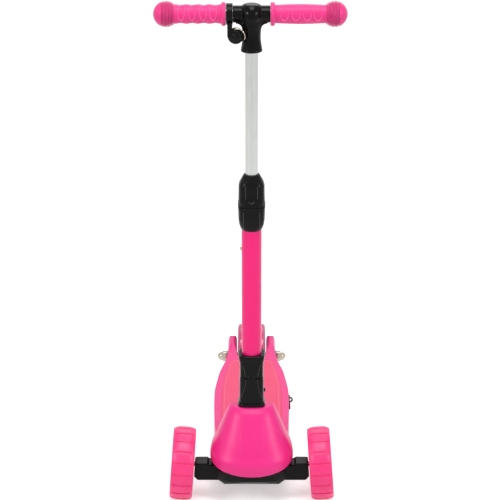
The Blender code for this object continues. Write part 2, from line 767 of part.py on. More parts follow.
def make_side_fittings():
    z = SIDE_FITTINGS_HEIGHT
    face = side_face(POWER_BUTTON_BACK)
    half_length, half_height = POWER_BUTTON_LENGTH / 2, POWER_BUTTON_HEIGHT / 2
    low = (-DECK_WALL, -half_length, -half_height)
    high = (POWER_BUTTON_PROUD, half_length, half_height)
    mesh = box_mesh("power_button", low, high)
    bevel(add_object("power_button", mesh, BLACK, at(face, back(POWER_BUTTON_BACK), z)), 0.0008, 2)

    inner = CHARGE_PORT_RADIUS - 0.0018
    socket = [
        (0.0, -0.0075),
        (inner, -0.0075),
        (inner, 0.0),
        (CHARGE_PORT_RADIUS, 0.0),
        (CHARGE_PORT_RADIUS, -0.009),
        (0.0, -0.009),
    ]
    face = side_face(CHARGE_PORT_BACK)
    place = at(face, back(CHARGE_PORT_BACK), z, math.pi / 2, "Y")
    turned("charge_port", socket, BLACK, 20, False, place)

    lens = [(0.0, 0.0010), (0.0012, 0.0007), (0.0018, 0.0), (0.0018, -0.004), (0.0, -0.004)]
    place = at(side_face(CHARGE_LIGHT_BACK), back(CHARGE_LIGHT_BACK), z, math.pi / 2, "Y")
    turned("charge_light", lens, LAMP, 14, False, place)
    make_charge_cap()


def make_charge_cap():
    """A rubber flap over the port with a pull loop; it swings about its front edge."""
    z = SIDE_FITTINGS_HEIGHT
    half = CHARGE_CAP_SIZE / 2
    hinge = at(side_face(CHARGE_PORT_BACK) + GAP * 2, back(CHARGE_PORT_BACK) - half, z)
    flap = box_mesh("charge_cap", (0.0, 0.0, -half * 0.8), (CHARGE_CAP_THICKNESS, 2 * half, half * 0.8))
    cap = add_object("charge_cap", flap, BLACK_RUBBER, hinge)
    bevel(cap, 0.0006, 1)
    loop_radius, wire = 0.0030, 0.0008
    loop_place = hinge @ Matrix.Translation((CHARGE_CAP_THICKNESS + 0.0026, half * 1.2, 0.0))

    def build(shape):
        rings = []
        for i in range(16):
            a = 2 * math.pi * i / 16
            out = Vector((math.cos(a), math.sin(a), 0.0))
            ring = []
            for j in range(6):
                b = 2 * math.pi * (j + 0.5) / 6
                spot = out * (loop_radius + wire * math.cos(b)) + Vector((0, 0, wire * math.sin(b)))
                ring.append(shape.verts.new(spot))
            rings.append(ring)
        for first, second in zip(rings, rings[1:] + rings[:1]):
            for j in range(6):
                k = (j + 1) % 6
                shape.faces.new((first[j], second[j], second[k], first[k]))

    loop = add_object("charge_cap_loop", mesh_from("charge_cap_loop", build), place=loop_place)
    boolean(cap, loop, "UNION")


PACK_FRONT = 0.095
CASE_REAR = CAVITY_END - 0.036
CASE_FRONT = CASE_REAR - 0.050


def make_deck_insides():
    floor = DECK_BOTTOM + BASE_THICKNESS + GAP
    roof = DECK_TOP - DECK_WALL - GAP
    half = DECK_FRONT_HALF_WIDTH - DECK_WALL - 0.006
    low, high = (-half, back(PACK_FRONT), floor), (half, back(CASE_FRONT - 0.015), roof - 0.004)
    pack = box_mesh("battery_pack", low, high)
    bevel(add_object("battery_pack", pack, BLUE_SHRINK), 0.004, 2)
    half = 0.032
    low, high = (-half, back(CASE_FRONT), floor), (half, back(CASE_REAR), floor + 0.020)
    case = box_mesh("motor_controller", low, high)
    bevel(add_object("motor_controller", case, CIRCUIT), 0.0015, 1)


def make_fender():
    """A foot-pressed brake: a channel round the tyre that swings on a pin between the ears."""
    pin = (0.0, back(FENDER_PIN_BACK), FENDER_PIN_HEIGHT)
    inner, outer = FENDER_INNER, FENDER_INNER + FENDER_WALL
    half, wall, lip = FENDER_HALF_WIDTH, FENDER_WALL, FENDER_LIP
    corner = 0.005
    top = arc((half - corner, outer - corner), corner, 0, 90, 3)
    under = arc((half - corner, outer - corner), corner - wall, 90, 0, 3)
    right = [(half - 0.0004, inner - lip), *top]
    left = [(-x, r) for x, r in reversed(right)]
    inside = [*under, (half - wall, inner - lip)]
    section = right + left + [(-x, r) for x, r in reversed(inside)] + inside
    rings = []
    steps = 13
    for i in range(steps + 1):
        angle = math.radians(FENDER_REAR_ANGLE + (FENDER_FRONT_ANGLE - FENDER_REAR_ANGLE) * i / steps)
        c, s = math.cos(angle), math.sin(angle)
        ring = [(x, Y_REAR + r * c - pin[1], REAR_WHEEL_HEIGHT + r * s - pin[2]) for x, r in section]
        rings.append(ring)
    place = Matrix.Translation(pin)
    fender = add_object("rear_fender", loft_mesh("rear_fender", rings), HOT_PINK, place)
    width = 2 * (FENDER_HALF_WIDTH - 0.004)
    barrel = rod_mesh("fender_barrel", FENDER_BARREL_RADIUS, width, 20)
    barrel_place = place @ at(-width / 2, 0, 0, math.pi / 2, "Y")
    boolean(fender, add_object("fender_barrel", barrel, place=barrel_place), "UNION")
    bore_place = place @ at(-width / 2 - 0.005, 0, 0, math.pi / 2, "Y")
    cut_rod(fender, "fender_bore", FENDER_PIN_RADIUS + GAP, width + 0.01, bore_place, 16)
    smooth(fender)
    half_pin = EAR_INNER + FENDER_PIN_BITE - GAP
    rod = rod_mesh("fender_pin", FENDER_PIN_RADIUS, 2 * half_pin, 16)
    add_object("fender_pin", rod, STEEL, place @ at(-half_pin, 0, 0, math.pi / 2, "Y"))


# Front body
STEM_FOOT = Vector((0.0, back(STEM_FOOT_BACK), STEM_FOOT_HEIGHT))
STEM_FRAME = bpy.data.objects.new("stem_frame", None)
STEM_FRAME.matrix_basis = Matrix.Translation(STEM_FOOT) @ Matrix.Rotation(-STEM_LEAN, 4, "X")
PARTS.objects.link(STEM_FRAME)

# Bonnet sections: height, half width, then nose, widest place and rear behind the front axle
BONNET_SECTIONS = [
    (0.0550, 0.0700, -0.0500, 0.0000, 0.0840),
    (0.0720, 0.0700, -0.0496, 0.0000, 0.0830),
    (0.0840, 0.0684, -0.0466, 0.0030, 0.0810),
    (0.0920, 0.0648, -0.0420, 0.0060, 0.0770),
    (0.1080, 0.0570, -0.0330, 0.0110, 0.0690),
    (0.1300, 0.0475, -0.0190, 0.0170, 0.0600),
    (0.1480, 0.0395, -0.0070, 0.0220, 0.0530),
    (0.1560, 0.0345, 0.0000, 0.0245, 0.0490),
]
BONNET_POWER = 2.5
BONNET_SMILE_LOW = 0.057
BONNET_SMILE_HIGH = 0.0725
BONNET_POINTS = 32
BONNET_SHOULDER = 0.030
BONNET_REAR_DROP = 0.019
CHASSIS_HALF_WIDTH = 0.017
CHASSIS_HALF_DEPTH = 0.0140
CHASSIS_FRONT = STEM_FOOT_BACK - CHASSIS_HALF_DEPTH
CHASSIS_REAR = STEM_FOOT_BACK + CHASSIS_HALF_DEPTH
TRAY_HALF_WIDTH = 0.054
TRAY_REAR = -0.024
TRAY_BOTTOM = 0.0405
TRAY_FLOOR_HALF_WIDTH = 0.0475
TRAY_FLOOR_NOSE = -0.035
TRAY_WALL = 0.0026


def foot_plane(distance):
    """Height of the plane under the stem's foot at a distance behind the front axle."""
    return STEM_FOOT_HEIGHT - (distance - STEM_FOOT_BACK) * math.tan(STEM_LEAN)


def between(rows, height):
    """Interpolates a table of rows by their first value."""
    if height <= rows[0][0]:
        return rows[0][1:]
    for low, high in zip(rows, rows[1:]):
        if height <= high[0]:
            share = (height - low[0]) / (high[0] - low[0])
            return tuple(a + (b - a) * share for a, b in zip(low[1:], high[1:]))
    return rows[-1][1:]


def bonnet_point(angle, height, inset=0.0):
    half, nose, middle, rear = between(BONNET_SECTIONS, height)
    c, s = math.cos(angle), math.sin(angle)
    reach = (rear - middle) if s > 0 else (middle - nose)
    x = (half - inset) * math.copysign(abs(c) ** (2 / BONNET_POWER), c)
    y = middle + (reach - inset) * math.copysign(abs(s) ** (2 / BONNET_POWER), s)
    return x, y


def bonnet_edge_height(x, distance):
    """The lower edge smiles over the beam and climbs onto the deck at the rear."""
    smile = BONNET_SMILE_LOW + (BONNET_SMILE_HIGH - BONNET_SMILE_LOW) * min(abs(x) / 0.067, 1.0) ** 2
    share = min(max((distance - 0.026) / 0.022, 0.0), 1.0)
    rise = share * share * (3 - 2 * share)
    return smile + (DECK_TOP - smile) * rise


def bonnet_drop(distance):
    """The rim is level in front and falls away behind the middle of the stem."""
    rear = BONNET_SECTIONS[-1][4]
    share = min(max((distance - BONNET_SHOULDER) / (rear - BONNET_SHOULDER), 0.0), 1.0)
    return BONNET_REAR_DROP * share * share * (3 - 2 * share)


def make_bonnet():
    levels = (0.0, 0.10, 0.24, 0.44, 0.70, 1.0)
    angles = [2 * math.pi * (i + 0.5) / BONNET_POINTS for i in range(BONNET_POINTS)]
    top = BONNET_SECTIONS[-1][0]
    rings = []
    for level in levels:
        ring = []
        for angle in angles:
            edge = bonnet_edge_height(*bonnet_point(angle, BONNET_SMILE_HIGH))
            crown = top - bonnet_drop(bonnet_point(angle, top)[1])
            x, y = bonnet_point(angle, edge + (top - edge) * level)
            height = edge + (crown - edge) * level
            ring.append((x, back(y), min(height, foot_plane(y) - 3 * GAP)))
        rings.append(ring)
    rim = [bonnet_point(angle, top, 0.002) for angle in angles]
    rings.append([(x, back(y), foot_plane(y) - GAP - bonnet_drop(y)) for x, y in rim])
    inner = rounded_ring(CHASSIS_HALF_WIDTH, CHASSIS_HALF_DEPTH + 0.001, 6.0, 0.0, BONNET_POINTS)
    spots = [(x, y + STEM_FOOT_BACK) for x, y, z in inner]
    rings.append([(x, back(y), foot_plane(y) - GAP - bonnet_drop(y)) for x, y in spots])
    bonnet = add_object("front_bonnet", loft_mesh("front_bonnet", rings, capped="top"), HOT_PINK)
    wall = bonnet.modifiers.new("wall", "SOLIDIFY")
    wall.thickness = BONNET_WALL
    wall.offset = -1.0
    half, depth = CHASSIS_HALF_WIDTH + 0.0010, CHASSIS_HALF_DEPTH + 0.0020
    low = (-half, back(STEM_FOOT_BACK) - depth, top - 0.025)
    high = (half, back(STEM_FOOT_BACK) + depth, top + 0.02)
    boolean(bonnet, add_object("bonnet_hole", box_mesh("bonnet_hole", low, high)))
    seat = deck_side(DECK_FRONT - GAP, 0.100, 8, -GAP)
    mesh = prism_mesh("bonnet_seat", mirrored(seat), DECK_BOTTOM, DECK_TOP + GAP)
    boolean(bonnet, add_object("bonnet_seat", mesh))
    smooth(bonnet)


def pivot_frame():
    """Local Z runs up and forward along the steering pin from the middle of the beam."""
    centre = Vector((0.0, Y_FRONT, PIVOT_HEIGHT))
    return along(centre, (0.0, -math.cos(PIVOT_SLOPE), math.sin(PIVOT_SLOPE)))


PIVOT = pivot_frame()
BUSH_FOOT = PIVOT_BOSS_LENGTH / 2 + GAP
SEAT_FOOT = BUSH_FOOT + PIVOT_BUSH_LENGTH + GAP
SEAT_LENGTH = 0.019


def make_chassis():
    """Bracket on the deck that carries the stem and the upper end of the steering pin."""
    top = [(back(y), foot_plane(y) - GAP) for y in (CHASSIS_REAR, CHASSIS_FRONT)]
    seat = DECK_TOP + GAP
    outline = [
        (back(0.068), seat),
        (back(0.068), seat + 0.008),
        (back(CHASSIS_REAR), STEM_FOOT_HEIGHT - 0.041),
        *top,
        (back(0.004), STEM_FOOT_HEIGHT - 0.035),
        (back(-0.018), 0.0925),
        (back(-0.027), 0.0850),
        (back(-0.014), 0.0760),
        (back(-0.004), 0.0795),
        (back(0.020), 0.0795),
        (back(0.024), seat),
    ]
    mesh = prism_mesh("chassis_bracket", outline, -CHASSIS_HALF_WIDTH, CHASSIS_HALF_WIDTH, "X")
    bracket = add_object("chassis_bracket", mesh, STEEL)
    spare = 0.002
    boss = rod_mesh("pivot_seat", PIVOT_BOSS_RADIUS, SEAT_LENGTH + 2 * spare, 24)
    seat_place = PIVOT @ Matrix.Translation((0, 0, SEAT_FOOT - spare))
    boolean(bracket, add_object("pivot_seat", boss, place=seat_place), "UNION")
    bush_space = PIVOT @ Matrix.Translation((0, 0, SEAT_FOOT - 0.03))
    cut_rod(bracket, "bush_space", PIVOT_BOSS_RADIUS + 0.0015, 0.03, bush_space)
    cut_rod(bracket, "pivot_bore", PIVOT_PIN_RADIUS + GAP, 0.06, PIVOT)
    head_space = PIVOT @ Matrix.Translation((0, 0, SEAT_FOOT + SEAT_LENGTH))
    cut_rod(bracket, "pivot_head_space", PIVOT_BOSS_RADIUS + 0.0015, 0.02, head_space)


def make_pivot():
    """Steering pin with its head, nut and two rubber bushes that hold the beam level."""
    head_foot = SEAT_FOOT + SEAT_LENGTH + GAP
    low = -(SEAT_FOOT + 0.0075)
    profile = [
        (0.0, head_foot + 0.0045),
        (0.0070, head_foot + 0.0045),
        (0.0080, head_foot + 0.0032),
        (0.0080, head_foot),
        (PIVOT_PIN_RADIUS, head_foot),
        (PIVOT_PIN_RADIUS, low),
        (0.0, low),
    ]
    turned("pivot_pin", profile, STEEL, 24, False, PIVOT)
    nut = prism_mesh("pivot_nut", hexagon(0.015), 0.0, 0.006)
    nut_place = PIVOT @ Matrix.Translation((0, 0, -SEAT_FOOT - 0.006))
    nut = add_object("pivot_nut", nut, STEEL, nut_place)
    bore_place = nut_place @ Matrix.Translation((0, 0, -0.002))
    cut_rod(nut, "pivot_nut_bore", PIVOT_PIN_RADIUS + GAP, 0.01, bore_place)
    wide, bore, length = PIVOT_BOSS_RADIUS - 0.001, PIVOT_PIN_RADIUS + GAP, PIVOT_BUSH_LENGTH
    for name, foot in (("pivot_bush_upper", BUSH_FOOT), ("pivot_bush_lower", -BUSH_FOOT - length)):
        profile = [(wide, length), (wide, 0.0), (bore, 0.0), (bore, length)]
        turned(name, profile, BLACK_RUBBER, 20, True, PIVOT @ Matrix.Translation((0, 0, foot)))


BEAM_SIDE_GAP = 0.0012


def beam_end(height):
    """X of the beam's end face, parallel to the cambered wheel."""
    inward = FRONT_WHEEL_WIDTH / 2 + BEAM_SIDE_GAP
    rise = (height - FRONT_WHEEL_HEIGHT) * math.sin(FRONT_CAMBER)
    return FRONT_TRACK / 2 - (inward + rise) / math.cos(FRONT_CAMBER)


def make_beam():
    step = BEAM_WAIST_HALF_LENGTH
    half = [
        (step, BEAM_WAIST_BOTTOM),
        (step + 0.008, BEAM_BOTTOM + 0.002),
        (step + 0.011, BEAM_BOTTOM),
        (beam_end(BEAM_BOTTOM) - 0.006, BEAM_BOTTOM),
        (beam_end(BEAM_BOTTOM + 0.007), BEAM_BOTTOM + 0.007),
        (beam_end(BEAM_TOP - 0.002), BEAM_TOP - 0.002),
        (beam_end(BEAM_TOP) - 0.002, BEAM_TOP),
        (BEAM_STEP, BEAM_TOP),
        (BEAM_STEP - 0.003, BEAM_INNER_TOP),
    ]
    outline = half + [(-x, z) for x, z in reversed(half)]
    # The outline stands in XZ, so it is drawn flat and turned up
    mesh = prism_mesh("front_beam", outline, -BEAM_DEPTH / 2, BEAM_DEPTH / 2)
    mesh.transform(Matrix.Rotation(math.pi / 2, 4, "X"))
    beam = add_object("front_beam", mesh, BLACK, at(0, Y_FRONT, 0))
    bevel(beam, 0.0015, 1, 50.0)
    boss = rod_mesh("beam_boss", PIVOT_BOSS_RADIUS, PIVOT_BOSS_LENGTH, 28)
    boss_place = PIVOT @ Matrix.Translation((0, 0, -PIVOT_BOSS_LENGTH / 2))
    boolean(beam, add_object("beam_boss", boss, place=boss_place), "UNION")
    length = 0.03
    for name, start in (
        ("upper_bush_space", PIVOT_BOSS_LENGTH / 2),
        ("lower_bush_space", -PIVOT_BOSS_LENGTH / 2 - length),
    ):
        cut_rod(beam, name, PIVOT_BOSS_RADIUS + 0.001, length, PIVOT @ Matrix.Translation((0, 0, start)), 28)
    cut_rod(beam, "beam_bore", PIVOT_PIN_RADIUS + GAP, 0.06, PIVOT @ Matrix.Translation((0, 0, -0.03)))
    for side, sign in (("left", 1), ("right", -1)):
        outward = Vector((sign * math.cos(FRONT_CAMBER), 0.0, math.sin(FRONT_CAMBER)))
        centre = Vector((sign * FRONT_TRACK / 2, Y_FRONT, FRONT_WHEEL_HEIGHT))
        place = along(centre - outward * (FRONT_WHEEL_WIDTH / 2 + AXLE_GRIP + GAP), outward)
        cut_rod(beam, f"axle_socket_{side}", FRONT_AXLE_RADIUS + GAP, AXLE_GRIP + GAP, place)


def tray_ring(height, inset, half, nose):
    """A level section of the tray, cut straight at the sides and in front where the nose is flattened."""
    ring = []
    for i in range(BONNET_POINTS):
        angle = 2 * math.pi * (i + 0.5) / BONNET_POINTS
        x, y = bonnet_point(angle, 0.06, inset)
        ring.append((min(max(x, -half), half), back(max(y, nose)), height))
    return ring


def make_tray():
    """Closes the nose from below: its rim stands just inside the bonnet's lower edge."""
    inside = BONNET_WALL + GAP
    half, nose = TRAY_FLOOR_HALF_WIDTH, TRAY_FLOOR_NOSE
    wide, full = half + 0.0065, half + 0.0200
    rings = [
        tray_ring(TRAY_BOTTOM, 0.0060, half, nose),
        tray_ring(TRAY_BOTTOM + 0.0045, 0.0050, wide, nose - 0.0065),
        tray_ring(TRAY_BOTTOM + 0.0100, inside, full, nose - 0.0200),
        tray_ring(TRAY_BOTTOM + 0.0240, inside, full, nose - 0.0200),
    ]
    tray = add_object("front_tray", loft_mesh("front_tray", rings), BLACK)
    floor = TRAY_BOTTOM + TRAY_WALL
    thick = inside + TRAY_WALL
    hollow = [
        tray_ring(floor, 0.0060 + TRAY_WALL, half - TRAY_WALL, nose + TRAY_WALL),
        tray_ring(floor + 0.0075, thick, full - TRAY_WALL, nose - 0.0200),
        tray_ring(floor + 0.0400, thick, full - TRAY_WALL, nose - 0.0200),
    ]
    boolean(tray, add_object("tray_hollow", loft_mesh("tray_hollow", hollow)))
    low, high = (-TRAY_HALF_WIDTH, back(-0.06), 0.03), (TRAY_HALF_WIDTH, back(TRAY_REAR), 0.1)
    keep = box_mesh("tray_keep", low, high)
    boolean(tray, add_object("tray_keep", keep), "INTERSECT")


# Stem
def stem_place(distance=0.0, x=0.0, y=0.0, turn=0.0, about="X"):
    return at(x, y, distance, turn, about)


FOLD_AXIS_BACK = 0.0257
FOLD_EAR_RADIUS = 0.0055
FOLD_PIN_RADIUS = 0.0025
FOLD_TONGUE_HALF_WIDTH = 0.0086
FOLD_WEB_STEP = 0.0012
FOLD_EAR_HALF_WIDTH = 0.0175
KNUCKLE_POWER = 4.5
FOLD_BUTTON_AT = 0.0225
FOLD_BUTTON_RADIUS = 0.0032
FOLD_BUTTON_PROUD = 0.0024
FOLD_BUTTON_LENGTH = 0.010
SOCKET_FLOOR_AT = 0.0580


def make_stem_base():
    rings = [
        rounded_ring(0.0220, 0.0205, KNUCKLE_POWER, 0.0),
        rounded_ring(0.0220, 0.0205, KNUCKLE_POWER, 0.0030),
        rounded_ring(0.0201, 0.0190, KNUCKLE_POWER, 0.0058),
        rounded_ring(0.0197, 0.0190, KNUCKLE_POWER, SEAM_AT - 0.0060),
        rounded_ring(0.0188, 0.0186, KNUCKLE_POWER, SEAM_AT - GAP / 2),
    ]
    base = add_object("stem_base", loft_mesh("stem_base", rings), BLACK, frame=STEM_FRAME)
    for side, sign in (("left", 1), ("right", -1)):
        near, far = FOLD_TONGUE_HALF_WIDTH + GAP, FOLD_EAR_HALF_WIDTH
        low_x, high_x = (near, far) if sign > 0 else (-far, -near)
        web = box_mesh(
            f"fold_ear_web_{side}",
            (low_x, 0.012, SEAM_AT - 0.014),
            (high_x, FOLD_AXIS_BACK + FOLD_EAR_RADIUS * 0.5, SEAM_AT - FOLD_WEB_STEP),
        )
        boolean(base, add_object(web.name, web, frame=STEM_FRAME), "UNION")
        ear = rod_mesh(f"fold_ear_{side}", FOLD_EAR_RADIUS, far - near, 20)
        place = stem_place(SEAM_AT, low_x, FOLD_AXIS_BACK, math.pi / 2, "Y")
        boolean(base, add_object(ear.name, ear, place=place, frame=STEM_FRAME), "UNION")
    pin_place = stem_place(SEAM_AT, -0.025, FOLD_AXIS_BACK, math.pi / 2, "Y")
    bore = rod_mesh("fold_ear_bore", FOLD_PIN_RADIUS + GAP, 0.05, 16)
    boolean(base, add_object("fold_ear_bore", bore, place=pin_place, frame=STEM_FRAME))
    pocket = rod_mesh("fold_button_pocket", FOLD_BUTTON_RADIUS + GAP, 0.03, 20)
    place = stem_place(FOLD_BUTTON_AT, 0.0090, 0.0, math.pi / 2, "Y")
    boolean(base, add_object("fold_button_pocket", pocket, place=place, frame=STEM_FRAME))
    smooth(base)

    face = 0.0199
    tip = FOLD_BUTTON_PROUD
    radius = FOLD_BUTTON_RADIUS
    profile = [
        (0.0, tip),
        (radius * 0.7, tip),
        (radius, tip - 0.0007),
        (radius, tip - FOLD_BUTTON_LENGTH),
        (0.0, tip - FOLD_BUTTON_LENGTH),
    ]
    place = stem_place(FOLD_BUTTON_AT, face, 0.0, math.pi / 2, "Y")
    turned("fold_release_button", profile, BLACK, 20, False, place, STEM_FRAME)

    half, head = FOLD_EAR_HALF_WIDTH + GAP, 0.0012
    profile = [(0.0, half + head), (0.0038, half + head), (0.0038, half), (FOLD_PIN_RADIUS, half)]
    profile += [(r, -z) for r, z in reversed(profile)]
    place = stem_place(SEAM_AT, 0.0, FOLD_AXIS_BACK, math.pi / 2, "Y")
    turned("fold_hinge_pin", profile, STEEL, 16, False, place, STEM_FRAME)


def make_fold_knuckle():
    rings = [
        rounded_ring(0.0186, 0.0186, KNUCKLE_POWER, SEAM_AT + GAP / 2),
        rounded_ring(0.0189, 0.0188, KNUCKLE_POWER, SEAM_AT + 0.0040),
        rounded_ring(0.0197, 0.0192, KNUCKLE_POWER, KNUCKLE_TOP_AT - 0.0120),
        rounded_ring(0.0211, 0.0205, KNUCKLE_POWER, KNUCKLE_TOP_AT - 0.0065),
        rounded_ring(0.0212, 0.0206, KNUCKLE_POWER, KNUCKLE_TOP_AT - 0.0025),
        rounded_ring(0.0200, 0.0194, KNUCKLE_POWER, KNUCKLE_TOP_AT),
    ]
    knuckle = add_object("fold_knuckle", loft_mesh("fold_knuckle", rings), BLACK, frame=STEM_FRAME)
    half = FOLD_TONGUE_HALF_WIDTH
    web = box_mesh(
        "fold_tongue_web",
        (-half, 0.012, SEAM_AT + FOLD_WEB_STEP),
        (half, FOLD_AXIS_BACK + FOLD_EAR_RADIUS * 0.5, SEAM_AT + 0.014),
    )
    boolean(knuckle, add_object("fold_tongue_web", web, frame=STEM_FRAME), "UNION")
    tongue = rod_mesh("fold_tongue", FOLD_EAR_RADIUS, 2 * half, 20)
    place = stem_place(SEAM_AT, -half, FOLD_AXIS_BACK, math.pi / 2, "Y")
    boolean(knuckle, add_object("fold_tongue", tongue, place=place, frame=STEM_FRAME), "UNION")
    bore = rod_mesh("fold_tongue_bore", FOLD_PIN_RADIUS + GAP, 0.05, 16)
    place = stem_place(SEAM_AT, -0.025, FOLD_AXIS_BACK, math.pi / 2, "Y")
    boolean(knuckle, add_object("fold_tongue_bore", bore, place=place, frame=STEM_FRAME))
    socket = rod_mesh("tube_socket", LOWER_TUBE_RADIUS + GAP, 0.06, 32)
    place = stem_place(SOCKET_FLOOR_AT)
    boolean(knuckle, add_object("tube_socket", socket, place=place, frame=STEM_FRAME))
    smooth(knuckle)


LOWER_TUBE_TOP_AT = COLLAR_TOP_AT - 0.010
BUSH_LENGTH = 0.040
UPPER_TUBE_FOOT_AT = 0.176


def tube(name, outer, inner, low, high, surface, sides=26):
    profile = [(outer, high), (outer, low), (inner, low), (inner, high)]
    return turned(name, profile, surface, sides, True, None, STEM_FRAME)


def make_tubes():
    lower = tube(
        "lower_tube",
        LOWER_TUBE_RADIUS,
        LOWER_TUBE_RADIUS - LOWER_TUBE_WALL,
        SOCKET_FLOOR_AT + GAP,
        LOWER_TUBE_TOP_AT,
        PINK_PAINT,
    )
    hole = rod_mesh("snap_hole", SNAP_RADIUS + GAP, 0.01, 16)
    place = stem_place(SNAP_AT, -LOWER_TUBE_RADIUS + 0.004, 0.0, -math.pi / 2, "Y")
    boolean(lower, add_object("snap_hole", hole, place=place, frame=STEM_FRAME))

    bush_outer = LOWER_TUBE_RADIUS - LOWER_TUBE_WALL - GAP
    bush_inner = UPPER_TUBE_RADIUS + GAP
    low = LOWER_TUBE_TOP_AT - BUSH_LENGTH
    tube("guide_bush", bush_outer, bush_inner, low, LOWER_TUBE_TOP_AT, WHITE)

    inner = UPPER_TUBE_RADIUS - UPPER_TUBE_WALL
    upper = tube("upper_tube", UPPER_TUBE_RADIUS, inner, UPPER_TUBE_FOOT_AT, TUBE_TOP_AT, SILVER, 22)
    for i in range(HEIGHT_STEPS + 1):
        name = f"height_hole_{i}"
        place = stem_place(SNAP_AT + i * HEIGHT_STEP, -UPPER_TUBE_RADIUS + 0.005, 0.0, -math.pi / 2, "Y")
        hole = rod_mesh(name, SNAP_RADIUS + GAP, 0.01, 12)
        boolean(upper, add_object(name, hole, place=place, frame=STEM_FRAME))

    out = LOWER_TUBE_RADIUS + 0.0030
    near = UPPER_TUBE_RADIUS + GAP
    profile = [
        (0.0, out),
        (SNAP_RADIUS * 0.55, out - 0.0004),
        (SNAP_RADIUS * 0.9, out - 0.0012),
        (SNAP_RADIUS, out - 0.0022),
        (SNAP_RADIUS, near + 0.0008),
        (SNAP_RADIUS - 0.0006, near + 0.0002),
        (0.0, near + 0.0002),
    ]
    place = stem_place(SNAP_AT, 0.0, 0.0, -math.pi / 2, "Y")
    turned("snap_button", profile, CHROME, 14, False, place, STEM_FRAME)


def collar_rings(rows):
    """Rings of a hand collar: nearly square with round corners in its middle, round at its ends."""
    return [rounded_ring(half, half, power, height, 32) for height, half, power in rows]


def make_collars():
    lower_rows = [
        (COLLAR_BOTTOM_AT, 0.0153, 2.0),
        (COLLAR_BOTTOM_AT + 0.0012, 0.0166, 2.1),
        (COLLAR_BOTTOM_AT + 0.0050, 0.0182, 2.6),
        (COLLAR_BOTTOM_AT + 0.0110, 0.0199, 3.2),
        (COLLAR_BOTTOM_AT + 0.0190, 0.0209, 3.2),
        (COLLAR_SEAM_AT - 0.0035, 0.0214, 3.0),
        (COLLAR_SEAM_AT - 0.0010, 0.0218, 2.4),
        (COLLAR_SEAM_AT - GAP / 2, 0.0212, 2.4),
    ]
    rings = collar_rings(lower_rows)
    collar = add_object("collar_lower", loft_mesh("collar_lower", rings), BLACK, frame=STEM_FRAME)
    bore = rod_mesh("collar_lower_bore", LOWER_TUBE_RADIUS + GAP, 0.06, 32)
    place = stem_place(COLLAR_BOTTOM_AT - 0.005)
    boolean(collar, add_object("collar_lower_bore", bore, place=place, frame=STEM_FRAME))
    smooth(collar)

    upper_rows = [
        (COLLAR_SEAM_AT + GAP / 2, 0.0212, 2.4),
        (COLLAR_SEAM_AT + 0.0010, 0.0219, 2.4),
        (COLLAR_SEAM_AT + 0.0050, 0.0219, 2.4),
        (COLLAR_SEAM_AT + 0.0068, 0.0211, 3.2),
        (COLLAR_SEAM_AT + 0.0330, 0.0205, 3.2),
        (COLLAR_SEAM_AT + 0.0380, 0.0191, 3.0),
        (COLLAR_SEAM_AT + 0.0435, 0.0164, 2.6),
        (COLLAR_SEAM_AT + 0.0490, 0.0134, 2.1),
        (COLLAR_TOP_AT, 0.0123, 2.0),
    ]
    rings = collar_rings(upper_rows)
    collar = add_object("collar_twist", loft_mesh("collar_twist", rings), BLACK, frame=STEM_FRAME)
    length = LOWER_TUBE_TOP_AT - COLLAR_SEAM_AT + 0.01
    bore = rod_mesh("collar_twist_bore", LOWER_TUBE_RADIUS + GAP, length, 32)
    place = stem_place(COLLAR_SEAM_AT - 0.01 + GAP)
    boolean(collar, add_object("collar_twist_bore", bore, place=place, frame=STEM_FRAME))
    mouth = rod_mesh("collar_twist_mouth", UPPER_TUBE_RADIUS + GAP, 0.05, 28)
    place = stem_place(COLLAR_TOP_AT - 0.02)
    boolean(collar, add_object("collar_twist_mouth", mouth, place=place, frame=STEM_FRAME))
    smooth(collar)


# Head
TEE_PROFILE = [
    (0.0, TEE_TOP_AT),
    (0.0085, TEE_TOP_AT - 0.0004),
    (0.0130, TEE_TOP_AT - 0.0020),
    (0.0162, TEE_TOP_AT - 0.0050),
    (0.0176, TEE_TOP_AT - 0.0090),
    (0.0178, BAR_AT),
    (0.0174, BAR_AT - 0.0100),
    (0.0160, BAR_AT - 0.0175),
    (0.0143, BAR_AT - 0.0230),
    (0.0136, BAR_AT - 0.0300),
    (0.0136, BAR_AT - 0.0380),
    (0.0146, BAR_AT - 0.0460),
    (0.0163, TEE_BOTTOM_AT + 0.0030),
    (0.0166, TEE_BOTTOM_AT + 0.0012),
    (0.0160, TEE_BOTTOM_AT),
    (0.0, TEE_BOTTOM_AT),
]
TEE_NECK_RADIUS = 0.0138
TEE_WEB_RADIUS = 0.0085
TEE_WEB_HALF_DEPTH = 0.0070
BAR_SHORT = 0.008
BAR_BORE = BAR_RADIUS + GAP
TUBE_TOP_AT = BAR_AT - BAR_RADIUS - 0.0025
BELL_AXIS = Vector((0.450, 0.885, 0.113)).normalized()
BELL_RADIUS = 0.0124
BELL_BASE_HEIGHT = 0.007
BELL_PLATE_THICKNESS = 0.0018
BELL_DOME_HEIGHT = 0.0064
BELL_POST_RADIUS = 0.0025
BELL_SPOT = (-0.0257, -0.0145, -0.0315)


def bar_place(sign=1):
    """Local Z runs out along the handlebar, to +X or to -X."""
    return stem_place(BAR_AT, 0.0, 0.0, sign * math.pi / 2, "Y")


